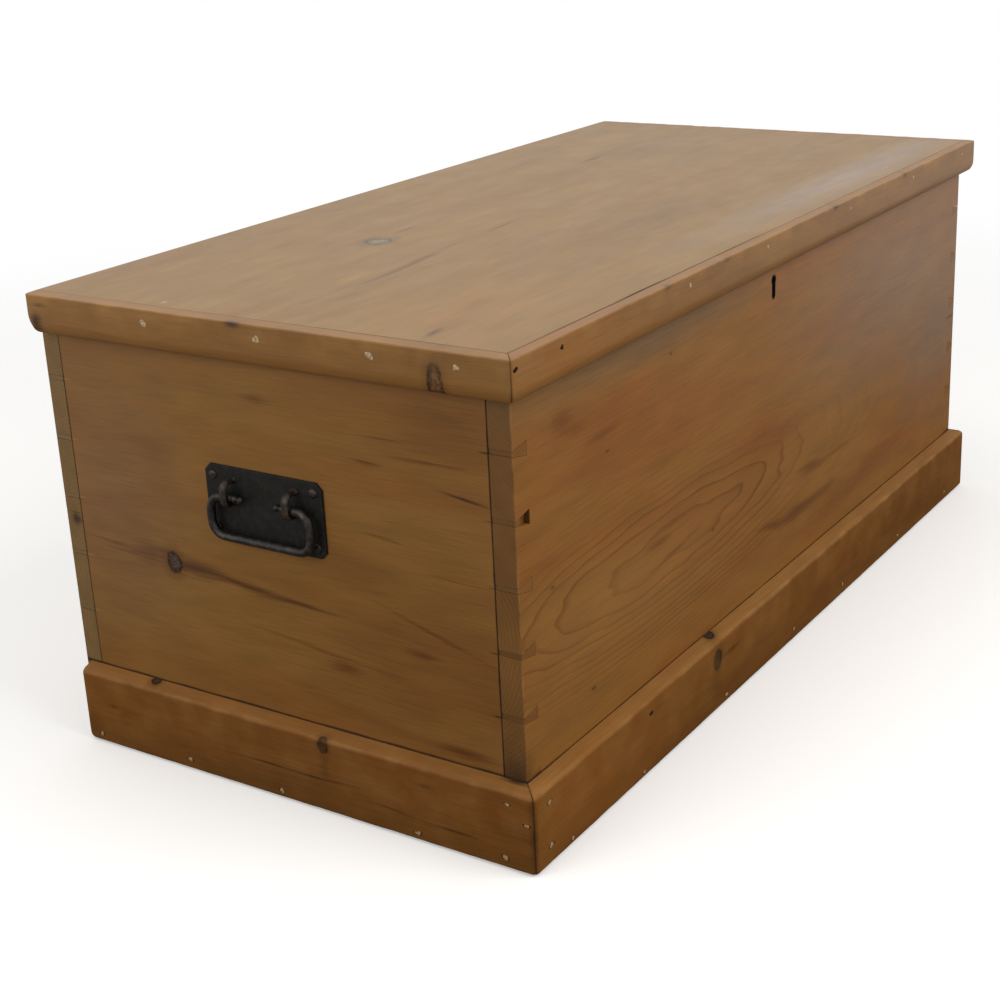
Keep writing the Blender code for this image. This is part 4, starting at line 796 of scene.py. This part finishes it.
EDGING_THICK = {"front": EDGING_HIGH.y - EDGING_LOW.y, "left": SIDE_EDGING_HIGH.x - SIDE_EDGING_LOW.x}
EDGING_THICK["right"] = EDGING_THICK["left"]
EDGING_FLAT = 0.002
EDGING_TURN = (0.00405, 0.0036)   # where the round leaves the foot, in from the face, and how far it reaches
EDGING_RISE = (0.0065, 0.0052)    # where it meets the face, up from the foot, and how far it reaches
EDGING_ARRIS = 0.0016
EDGING_CORNER = 0.0035
EDGING_DENT = 0.0013
EDGING_END = (0.008, 0.0015, 0.012)
TIGHT = 0.0002              # closes the joints of the lid by eye


def lid_edging():
    """Three mouldings with a square face over a rounded lower edge."""
    inner = CASE_FRONT - EDGING_HIGH.y - TIGHT
    foot = EDGING_LOW.z
    dents = {"front": [(place, EDGING_DENT) for place in FRONT_DENTS], "left": [(SIDE_DENT, EDGING_DENT)],
             "right": []}
    for side, thick in EDGING_THICK.items():
        outer = inner + TIGHT + thick
        corners = [(inner, foot, 0), (inner + EDGING_FLAT, foot, 0),
                   (outer - EDGING_TURN[0], foot, EDGING_TURN[1]),
                   (outer, foot + EDGING_RISE[0], EDGING_RISE[1]), (outer, LID_TOP, EDGING_ARRIS),
                   (inner, LID_TOP, WORN)]
        slope = EDGING_THICK["left" if side == "front" else "front"] / thick
        solid = strip(side, rounded(corners), [Vector((outer, LID_TOP))], slope, EDGING_CORNER, EDGING_END,
                      SIDE_EDGING_HIGH.y, dents[side])
        finish_piece("lid_moulding_" + side, solid, EDGING_PINE[side], "lid", "pine_edging",
                     "lid_edging_" + side)


def boards():
    """The case, the lid and the bottom, with their arrises eased."""
    for node, material in (("front_board", FRONT_PINE), ("right_end_board", RIGHT_PINE),
                           ("back_lower_board", BACK_PINE), ("back_upper_board", BACK_PINE)):
        dress(node, BOARD_ARRIS, material, "case", "pine_case")
    dress("left_end_board", BOARD_ARRIS, LEFT_PINE, "case", "pine_case", chip)
    for node in ("lid_board_front", "lid_board_back"):
        dress(node, LID_ARRIS, LID_PINE, "lid", "pine_lid", close_joint)
    for number in (1, 2, 3):
        dress("bottom_board_" + str(number), BOARD_ARRIS, BOTTOM_PINE, "case", "pine_bare")


TURNED_SIDES = 24


def turned(profile):
    """A round piece from a profile of (radius, height), closed at both ends."""
    solid = bmesh.new()
    verts = [solid.verts.new((radius, 0, height)) for radius, height in profile]
    edges = [solid.edges.new(pair) for pair in zip(verts, verts[1:])]
    bmesh.ops.spin(solid, geom=verts + edges, cent=(0, 0, 0), axis=(0, 0, 1), angle=2 * math.pi,
                   steps=TURNED_SIDES, use_merge=True)
    bmesh.ops.remove_doubles(solid, verts=solid.verts, dist=FINE_MERGE)
    close_ends(solid)
    return solid


SCREW_SHANK = 0.4           # of the head's radius
SCREW_TIP = 0.1             # the same
SCREW_TAPERS = 0.8          # of its length from the head
SLOT_WIDTH = 0.0011
SLOT_DEPTH = 0.0008
SLOT_TURN = 40              # turns each slot by its place
CROWN = -1e-6               # a screw's flat top is above this


def slotted_screw(node, body):
    """A countersunk screw with a slot across its flat head."""
    low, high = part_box(node)
    middle = (low + high) / 2
    span = high - low
    axis = max(range(3), key=lambda number: span[number])
    radius = min(span) / 2
    length = span[axis]
    reach = {True: 0, False: 0}
    for vertex in frame["nodes"][node].data.vertices:
        away = vertex.co - middle
        along = away[axis]
        away[axis] = 0
        reach[along > 0] = max(reach[along > 0], away.length)
    head = 1 if reach[True] > reach[False] else -1
    arris = METAL_ARRIS / 2
    shank = radius * SCREW_SHANK
    solid = turned([(radius - arris, 0), (radius, -arris), (shank, -radius * (1 - SCREW_SHANK)),
                    (shank, -length * SCREW_TAPERS), (radius * SCREW_TIP, -length)])
    for side in (-1, 1):
        crown = [face for face in solid.faces if face.calc_center_median().z > CROWN]
        geom = crown + [edge for face in crown for edge in face.edges]
        geom += [vertex for face in crown for vertex in face.verts]
        bmesh.ops.bisect_plane(solid, geom=list(dict.fromkeys(geom)), plane_co=(side * SLOT_WIDTH / 2, 0, 0),
                               plane_no=(1, 0, 0))
    crown = [face for face in solid.faces if face.calc_center_median().z > CROWN]
    slot = min(crown, key=lambda face: abs(face.calc_center_median().x))
    pull(solid, [slot], -SLOT_DEPTH)
    aim = Vector((0, 0, 0))
    aim[axis] = head
    place = middle + aim * length / 2
    turn = Vector((0, 0, 1)).rotation_difference(aim).to_matrix().to_4x4()
    spin = Matrix.Rotation(sum(place) * SLOT_TURN, 4, "Z")
    bmesh.ops.transform(solid, matrix=Matrix.Translation(place) @ turn @ spin, verts=solid.verts)
    finish_piece(node + "_slotted", solid, STEEL, body, "steel", node)


def hardware():
    """Hinges and lock, with their edges eased, and their screws."""
    for side in ("left", "right"):
        dress(side + "_hinge_case_leaf", METAL_ARRIS, PLATE_IRON, "case", "iron")
        dress(side + "_hinge_lid_leaf", METAL_ARRIS, PLATE_IRON, "lid", "iron")
        dress(side + "_hinge_pin", METAL_ARRIS, STEEL, "case", "steel")
    for node in ("lock_plate", "lock_cap"):
        dress(node, METAL_ARRIS, STEEL, "case", "steel")
    dress("keyhole_liner", METAL_ARRIS, PLATE_IRON, "case", "steel")
    dress("lock_link_plate", METAL_ARRIS, STEEL, "lid", "steel")
    dress("lock_bolt", METAL_ARRIS, STEEL, "lock_bolt", "steel")
    for number in (1, 2, 3, 4):
        slotted_screw("hinge_case_screw_" + str(number), "case")
        slotted_screw("hinge_lid_screw_" + str(number), "lid")
        slotted_screw("lock_screw_" + str(number), "case")
    for number in (1, 2):
        slotted_screw("lock_link_screw_" + str(number), "lid")


BAR_SIDES = 16
BEND_STEPS = 8
BAIL_RADIUS = 0.004
BAIL_CORNER = 0.0135
BAIL_TIP_FROM = 0.0170      # a tip's end from the middle of the handle
BAIL_WORN = (0.955, 0.045)  # of its radius: what is left, and how far that varies
BAIL_MIDDLE = 0.95
EYE_HOLE = 0.0044
EYE_BAR = 0.0044
EYE_CROWN = 0.0030
EYE_SLACK = 0.0074
EYE_WIDTH = 0.0072
EYE_FOOT = [(0, 1.5), (0.12, 1.25), (0.3, 1.0), (0.7, 1.0)]   # of the rise, and of the bar
FINIAL = [(0, 0.0004), (0.0004, 0.0016), (0.0013, 0.0028), (0.0030, 0.0034), (0.0047, 0.0028),
          (0.0058, 0.0019), (0.0068, 0.0019), (0.0080, 0.0029), (0.0095, 0.0032), (0.0110, 0.0029),
          (0.0120, 0.0024), (0.0130, 0.0028), (0.0145, 0.0039)]
PLATE_CELLS = 52
PLATE_CLIP = 0.006
HAMMER_SIZE = 0.009
HAMMER_DEPTH = 0.0002
STUD_RADIUS = 0.0043
STUD_HEIGHT = 0.0021
STUD_SHANK = 0.0022
STUD_LENGTH = 0.010
STUD_STEPS = 7
STUD_UNEVEN = 0.08
DETAIL_SIZE = 0.0025        # of the unevenness on studs and stopping


def swept(path, side_axis, sizes):
    """A bar along a flat path; sizes give its half width along the side axis and across it at each place."""
    solid = bmesh.new()
    ring = bmesh.ops.create_circle(solid, segments=BAR_SIDES, radius=1,
                                   matrix=Matrix.Rotation(math.pi / 2, 4, "Y"))
    bmesh.ops.spin(solid, geom=ring["verts"] + solid.edges[:], cent=(0, 0, 0), axis=(1, 0, 0),
                   dvec=(1, 0, 0), angle=0, steps=len(path) - 1)
    close_ends(solid)
    for vertex in solid.verts:
        number = round(vertex.co.x)
        ahead = path[min(number + 1, len(path) - 1)] - path[max(number - 1, 0)]
        across = ahead.normalized().cross(side_axis)
        wide, thick = sizes[number]
        vertex.co = path[number] + side_axis * wide * vertex.co.y + across * thick * vertex.co.z
    return solid


def on_end(side, y, z, out=0):
    """Turns (along, up, out) at a place on an end of the case into the frame."""
    way = -1 if side == "left" else 1
    return Matrix(((0, 0, way, way * CASE_END), (1, 0, 0, y), (0, 1, 0, z), (0, 0, 0, 1))) \
        @ Matrix.Translation((0, 0, out))


def handle_plate(side):
    """A sheet-iron plate with clipped corners, hammered a little uneven."""
    low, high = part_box(side + "_handle_plate")
    middle = (low + high) / 2
    span = high - low
    back = min(abs(low.x), abs(high.x)) - CASE_END
    solid = bmesh.new()
    bmesh.ops.create_grid(solid, x_segments=PLATE_CELLS, y_segments=PLATE_CELLS // 2, size=0.5,
                          matrix=Matrix.Diagonal((span.y, span.z, 1, 1)))
    for a in (-1, 1):
        for b in (-1, 1):
            clip = (a * (span.y / 2 - PLATE_CLIP), b * span.z / 2, 0)
            bmesh.ops.bisect_plane(solid, geom=solid.verts[:] + solid.edges[:] + solid.faces[:],
                                   plane_no=(a, b, 0), plane_co=clip, clear_outer=True)
    pull(solid, solid.faces[:], span.x)
    bmesh.ops.recalc_face_normals(solid, faces=solid.faces)
    rim = [edge for edge in solid.edges if edge.calc_face_angle(0) > SHARP_ANGLE and edge.verts[0].co.z > 0
           and edge.verts[1].co.z > 0]
    bmesh.ops.bevel(solid, geom=rim, offset=METAL_ARRIS * 2, offset_type="OFFSET", segments=2, profile=0.5,
                    affect="EDGES", material=-1)
    for vertex in solid.verts:
        if vertex.co.z > 0:
            vertex.co.z -= HAMMER_DEPTH * (0.5 + 0.5 * noise.noise(vertex.co / HAMMER_SIZE))
    bmesh.ops.transform(solid, matrix=on_end(side, middle.y, middle.z, back), verts=solid.verts)
    finish_piece(side + "_handle_sheet", solid, PLATE_IRON, "case", "iron", side + "_handle_plate")


def handle_eye(side, number):
    """A tall loop of flattened bar on a spread foot."""
    pivot = PIVOT[side]
    low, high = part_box(side + "_handle_eye_" + str(number))
    foot = min(abs(low.x), abs(high.x)) - CASE_END - JOINT_GAP
    out = abs(pivot.x) - CASE_END
    leg = EYE_HOLE + EYE_BAR / 2
    crown = EYE_HOLE + EYE_CROWN / 2
    path = [(-leg, foot + (out - foot) * part) for part, grow in EYE_FOOT]
    thick = [grow for part, grow in EYE_FOOT]
    for step in range(BEND_STEPS + 1):
        angle = math.pi / 2 * step / BEND_STEPS
        path.append((-leg * math.cos(angle), out + crown * math.sin(angle)))
        thick.append(1 + (EYE_CROWN / EYE_BAR - 1) * math.sin(angle))
    path += [(EYE_SLACK - up, depth) for up, depth in reversed(path)]
    thick += thick[::-1]
    sizes = [(EYE_WIDTH / 2 * max(1, grow ** 0.5), EYE_BAR / 2 * grow) for grow in thick]
    solid = swept([Vector((0, up, depth)) for up, depth in path], Vector((1, 0, 0)), sizes)
    bmesh.ops.transform(solid, matrix=on_end(side, (low.y + high.y) / 2, pivot.z), verts=solid.verts)
    finish_piece(side + "_handle_loop_" + str(number), solid, RUSTY_IRON, "case", "iron",
                 side + "_handle_eye_" + str(number))


def handle_bail(side):
    """A round bar bent to a drop, its ends turned in through the eyes and finished with beads."""
    pivot = PIVOT[side]
    low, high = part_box(side + "_handle_bail")
    half = (high.y - low.y) / 2 - BAIL_RADIUS
    drop = pivot.z - low.z - BAIL_RADIUS
    path = [(BAIL_TIP_FROM + along, 0) for along, radius in FINIAL]
    sizes = [radius for along, radius in FINIAL]
    straight = half - BAIL_CORNER
    bends = [(straight * 0.5 + path[-1][0] * 0.5, 0)]
    for height, turn in ((-BAIL_CORNER, 90), (BAIL_CORNER - drop, 0)):
        for step in range(BEND_STEPS + 1):
            angle = math.radians(turn - 90 * step / BEND_STEPS)
            bends.append((straight + BAIL_CORNER * math.cos(angle), height + BAIL_CORNER * math.sin(angle)))
    bends += [(straight * part, -drop) for part in (0.8, 0.6, 0.4, 0.2)]
    for along, up in bends:
        uneven = noise.noise(Vector((along, up, pivot.x)) / HAMMER_SIZE)
        sizes.append(BAIL_RADIUS * (BAIL_WORN[0] + BAIL_WORN[1] * uneven))
    path += bends
    path += [(0, -drop)] + [(-along, up) for along, up in reversed(path)]
    sizes += [BAIL_RADIUS * BAIL_MIDDLE] + sizes[::-1]
    solid = swept([Vector((along, up, 0)) for along, up in path], Vector((0, 0, 1)), [(r, r) for r in sizes])
    place = on_end(side, pivot.y, pivot.z, abs(pivot.x) - CASE_END)
    bmesh.ops.transform(solid, matrix=place, verts=solid.verts)
    finish_piece(side + "_handle_drop", solid, BAIL_IRON, side + "_bail", "bail_iron", side + "_handle_bail")


def handle_stud(side, number):
    """A rivet with a low domed head, no two quite alike."""
    node = side + "_handle_stud_" + str(number)
    low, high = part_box(node)
    face = max(abs(low.x), abs(high.x)) - CASE_END - STUD_HEIGHT
    angles = [math.pi / 2 * (1 - step / STUD_STEPS) for step in range(STUD_STEPS + 1)]
    profile = [(STUD_RADIUS * math.cos(angle), STUD_HEIGHT * math.sin(angle)) for angle in angles]
    solid = turned(profile + [(STUD_SHANK, 0), (STUD_SHANK, -STUD_LENGTH), (0, -STUD_LENGTH)])
    for vertex in solid.verts:
        uneven = noise.noise(vertex.co / DETAIL_SIZE + Vector((number, face, 0)))
        vertex.co.x *= 1 + STUD_UNEVEN * uneven
    place = on_end(side, (low.y + high.y) / 2, (low.z + high.z) / 2, face)
    bmesh.ops.transform(solid, matrix=place, verts=solid.verts)
    finish_piece(node + "_rivet", solid, RUSTY_IRON, "case", "iron", node)


NAIL_SIDES = 14
NAIL_DEPTH = 0.0008
NAIL_TAPER = 0.75
NAIL_INSET = 0.010          # of the bottom's nails, from the ends of its boards
NAIL_HEAD = 0.0028
NAIL_DROP = 0.012           # of the lid's nails at the ends, below its top
NAIL_ROWS = (CASE_FRONT + 0.011, CASE_BACK - 0.010)   # along the bottom, into the front and the back
NAIL_FIRST, NAIL_STEP, NAIL_COUNT = -0.4, 0.16, 6     # in each row
STOPPED = (1, 1.05, 0.35)   # how wide, how long along the grain, and how far down
GOUGED = (1.15, 1.5, 0.44)
LOBES, ROUGH = 0.22, 0.4    # of a patch's outline
PATCH_HIGH = 0.8


def fillings(name, spots, material, body, slot, flat, gouged=False):
    """Stopped nail holes: small uneven patches, nearly flush. Flat turns (along, up, out) into the frame.

    A gouge is what the punch left round a nail: wider, longer along the grain, and lower.
    """
    grow, long, sunk = GOUGED if gouged else STOPPED
    solid = bmesh.new()
    for number, (along, up, size) in enumerate(spots):
        disc = bmesh.ops.create_cone(solid, cap_ends=True, segments=NAIL_SIDES, radius1=size * grow,
                                     radius2=size * grow * NAIL_TAPER, depth=NAIL_DEPTH)["verts"]
        for vertex in disc:
            # Two or three lobes, turned by the patch's number and place so that no two look alike
            angle = math.atan2(vertex.co.y, vertex.co.x)
            uneven = LOBES * math.cos((2 + number % 2) * angle + 1.7 * number + along * 40)
            spot = Vector((vertex.co.x, vertex.co.y, size)) / DETAIL_SIZE
            uneven += ROUGH * noise.noise(spot + Vector((number, along, up)) * 3)
            vertex.co.x *= long + uneven
            vertex.co.y *= PATCH_HIGH + uneven
        bmesh.ops.translate(solid, verts=disc, vec=(along, up, -NAIL_DEPTH * sunk))
    bmesh.ops.transform(solid, matrix=flat, verts=solid.verts)
    finish_piece(name, solid, material, body, slot)


def stopped(name, spots, flat):
    """The plinth's nails, with their stopping and the gouge round each."""
    fillings(name + "_gouges", spots, BRUISED_AND_SHADED, "case", "pine_plinth", flat, True)
    fillings(name + "_stopping", spots, DIRTY_PUTTY, "case", "pine_plinth", flat)


def nails():
    """Nails through the edging, the plinth and the bottom. Most are punched in and stopped."""
    lid_front, plinth_front = [Matrix(((1, 0, 0, 0), (0, 0, -1, face), (0, 1, 0, 0), (0, 0, 0, 1)))
                               for face in (EDGING_LOW.y, PLINTH_LOW.y + WORN)]
    high = LID_TOP - NAIL_DROP
    lid_pale = [(-0.228, 0.431, 0.0025), (-0.070, 0.432, 0.0025), (0.130, 0.430, 0.0025),
                (0.310, 0.431, 0.0024), (0.470, 0.430, 0.0025)]
    fillings("lid_front_stopping", lid_pale, PALE_PUTTY, "lid", "pine_edging", lid_front)
    lid_holes = [(-0.509, 0.431, 0.0031), (-0.443, 0.431, 0.0029)]
    fillings("lid_front_holes", lid_holes, DARK_HOLE, "lid", "pine_edging", lid_front)
    stopped("plinth_front",
            [(-0.491, 0.059, 0.0031), (-0.490, 0.019, 0.0036), (-0.457, 0.007, 0.0028),
             (-0.331, 0.007, 0.0031), (-0.165, 0.009, 0.0031), (-0.006, 0.013, 0.0031),
             (0.124, 0.013, 0.0031), (0.290, 0.011, 0.0029), (0.450, 0.012, 0.0029)], plinth_front)
    fillings("plinth_front_hole", [(-0.317, 0.059, 0.0039)], DARK_HOLE, "case", "pine_plinth", plinth_front)
    for side in ("left", "right"):
        lid_out = EDGING_THICK[side] + CASE_FRONT - EDGING_HIGH.y
        fillings("lid_" + side + "_stopping",
                 [(0.110, high, 0.0042), (-0.014, high, 0.0042), (-0.129, high, 0.0045),
                  (-0.210, high, 0.0034)], PALE_PUTTY, "lid", "pine_edging", on_end(side, 0, 0, lid_out))
        stopped("plinth_" + side,
                [(0.229, 0.009, 0.0031), (0.115, 0.011, 0.0034), (0.006, 0.008, 0.0034),
                 (-0.143, 0.008, 0.0034), (-0.232, 0.011, 0.0034), (-0.236, 0.062, 0.0028),
                 (-0.254, 0.047, 0.0028)], on_end(side, 0, 0, PLINTH_OUTER))
    low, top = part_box("bottom_board_1")
    under = Matrix(((1, 0, 0, 0), (0, -1, 0, 0), (0, 0, -1, low.z), (0, 0, 0, 1)))
    heads = []
    for number in (1, 2, 3):
        low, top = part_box("bottom_board_" + str(number))
        for x in (low.x + NAIL_INSET, top.x - NAIL_INSET):
            heads += [(x, -(low.y + (top.y - low.y) * part), NAIL_HEAD) for part in (0.2, 0.5, 0.8)]
    for y in NAIL_ROWS:
        heads += [(NAIL_FIRST + NAIL_STEP * step, -y, NAIL_HEAD) for step in range(NAIL_COUNT)]
    fillings("bottom_nail_heads", heads, PLATE_IRON, "case", "iron", under)


plinth()
lid_edging()
boards()
hardware()
for side in ("left", "right"):
    handle_plate(side)
    handle_bail(side)
    for number in (1, 2):
        handle_eye(side, number)
    for number in (1, 2, 3, 4):
        handle_stud(side, number)
nails()
for node, part in frame["nodes"].items():
    if not part.hide_render:
        slot = next(row["material_slot"] for row in frame["record"]["subparts"] if row["node"] == node)
        part.data.materials.clear()
        part.data.materials.append({"iron": PLATE_IRON, "bail_iron": BAIL_IRON, "steel": STEEL}[slot])


# Studio

FLOOR_TONE = "#F6F5F3"
FLOOR_BOUNCE = "#8F857A"    # what the chest itself sees: the photograph was taken over a darker floor
FLOOR_GLOW = 0.28           # lifts the floor to white where nothing shades it
FLOOR_FADE = (0.9, 2.4)
FLOOR_SIZE = FLOOR_FADE[1] * 1.5
FLOOR_DROP = 0.0005         # keeps it clear of the plinth's foot
SOFT_LIGHT = 0.42
LAMPS = [("front_lamp", (0.0, -2.6, 2.2), 2.2, 53), ("top_lamp", (-0.3, 0.5, 3.0), 2.5, 18),
         ("left_lamp", (-2.8, 0.9, 1.5), 2.0, 28)]
LAMP_AIM = Vector((0, 0, 0.2))


def floor():
    """A pale floor that fades into the white beyond it."""
    solid = bmesh.new()
    bmesh.ops.create_grid(solid, x_segments=1, y_segments=1, size=FLOOR_SIZE)
    bmesh.ops.translate(solid, verts=solid.verts, vec=(0, 0, -FLOOR_DROP))
    mesh = bpy.data.meshes.new("floor")
    solid.to_mesh(mesh)
    solid.free()
    material, tree, shader, place = new_material("pale_floor")
    shader.inputs["Roughness"].default_value = 0.9
    shader.inputs["Specular IOR Level"].default_value = 0.0
    seen = add(tree, "LightPath")["Is Camera Ray"]
    tone = add(tree, "Mix", {FACTOR: seen, FIRST: linear(FLOOR_BOUNCE), SECOND: linear(FLOOR_TONE)},
               data_type="RGBA")[MIXED]
    tree.links.new(tone, shader.inputs["Base Color"])
    glow = add(tree, "Math", {0: seen, 1: FLOOR_GLOW}, operation="MULTIPLY")[0]
    shader.inputs["Emission Color"].default_value = linear(FLOOR_TONE)
    tree.links.new(glow, shader.inputs["Emission Strength"])
    away = add(tree, "VectorMath", {0: place["Object"]}, operation="LENGTH")["Value"]
    gone = add(tree, "MapRange", {0: away, 1: FLOOR_FADE[0], 2: FLOOR_FADE[1], 3: 1.0, 4: 0.0},
               interpolation_type="SMOOTHERSTEP")[0]
    tree.links.new(gone, shader.inputs["Alpha"])
    mesh.materials.append(material)
    ground = bpy.data.objects.new("floor", mesh)
    bpy.context.scene.collection.objects.link(ground)


def light():
    """Soft light from all round, with white to look at, and three broad lamps."""
    world = bpy.data.worlds.new("studio")
    world.use_nodes = True
    bpy.context.scene.world = world
    tree = world.node_tree
    tree.nodes.clear()
    path = add(tree, "LightPath")
    seen = path["Is Camera Ray"]
    for ray in ("Is Glossy Ray", "Is Transmission Ray"):
        seen = add(tree, "Math", {0: seen, 1: path[ray]}, operation="MAXIMUM")[0]
    soft, white = [add(tree, "Background", {"Color": (1, 1, 1, 1), "Strength": strength})[0]
                   for strength in (SOFT_LIGHT, 1.0)]
    mixed = add(tree, "MixShader", {0: seen, 1: soft, 2: white})[0]
    add(tree, "OutputWorld", {"Surface": mixed})
    for name, place, size, power in LAMPS:
        lamp = bpy.data.lights.new(name, "AREA")
        lamp.size = size
        lamp.energy = power
        lamp_object = bpy.data.objects.new(name, lamp)
        lamp_object.location = place
        lamp_object.rotation_euler = (LAMP_AIM - Vector(place)).to_track_quat("-Z", "Y").to_euler()
        bpy.context.scene.collection.objects.link(lamp_object)


def camera():
    """The photograph's own view."""
    lens = bpy.data.cameras.new("photo_view")
    lens.sensor_width = SENSOR_MM
    lens.lens = SENSOR_MM * FOCAL_PIXELS / IMAGE_SIZE
    lens.shift_x = 0.5 - PRINCIPAL_PIXEL[0] / IMAGE_SIZE
    lens.shift_y = PRINCIPAL_PIXEL[1] / IMAGE_SIZE - 0.5
    lens.clip_start = 0.01
    holder = bpy.data.objects.new("photo_view", lens)
    back = -CAMERA_AHEAD.normalized()
    up = back.cross(CAMERA_RIGHT).normalized()
    right = up.cross(back)
    holder.matrix_world = Matrix.Translation(CAMERA_PLACE) @ Matrix((right, up, back)).transposed().to_4x4()
    bpy.context.scene.collection.objects.link(holder)
    bpy.context.scene.camera = holder


floor()
light()
camera()
bpy.context.scene.view_settings.view_transform = "Standard"
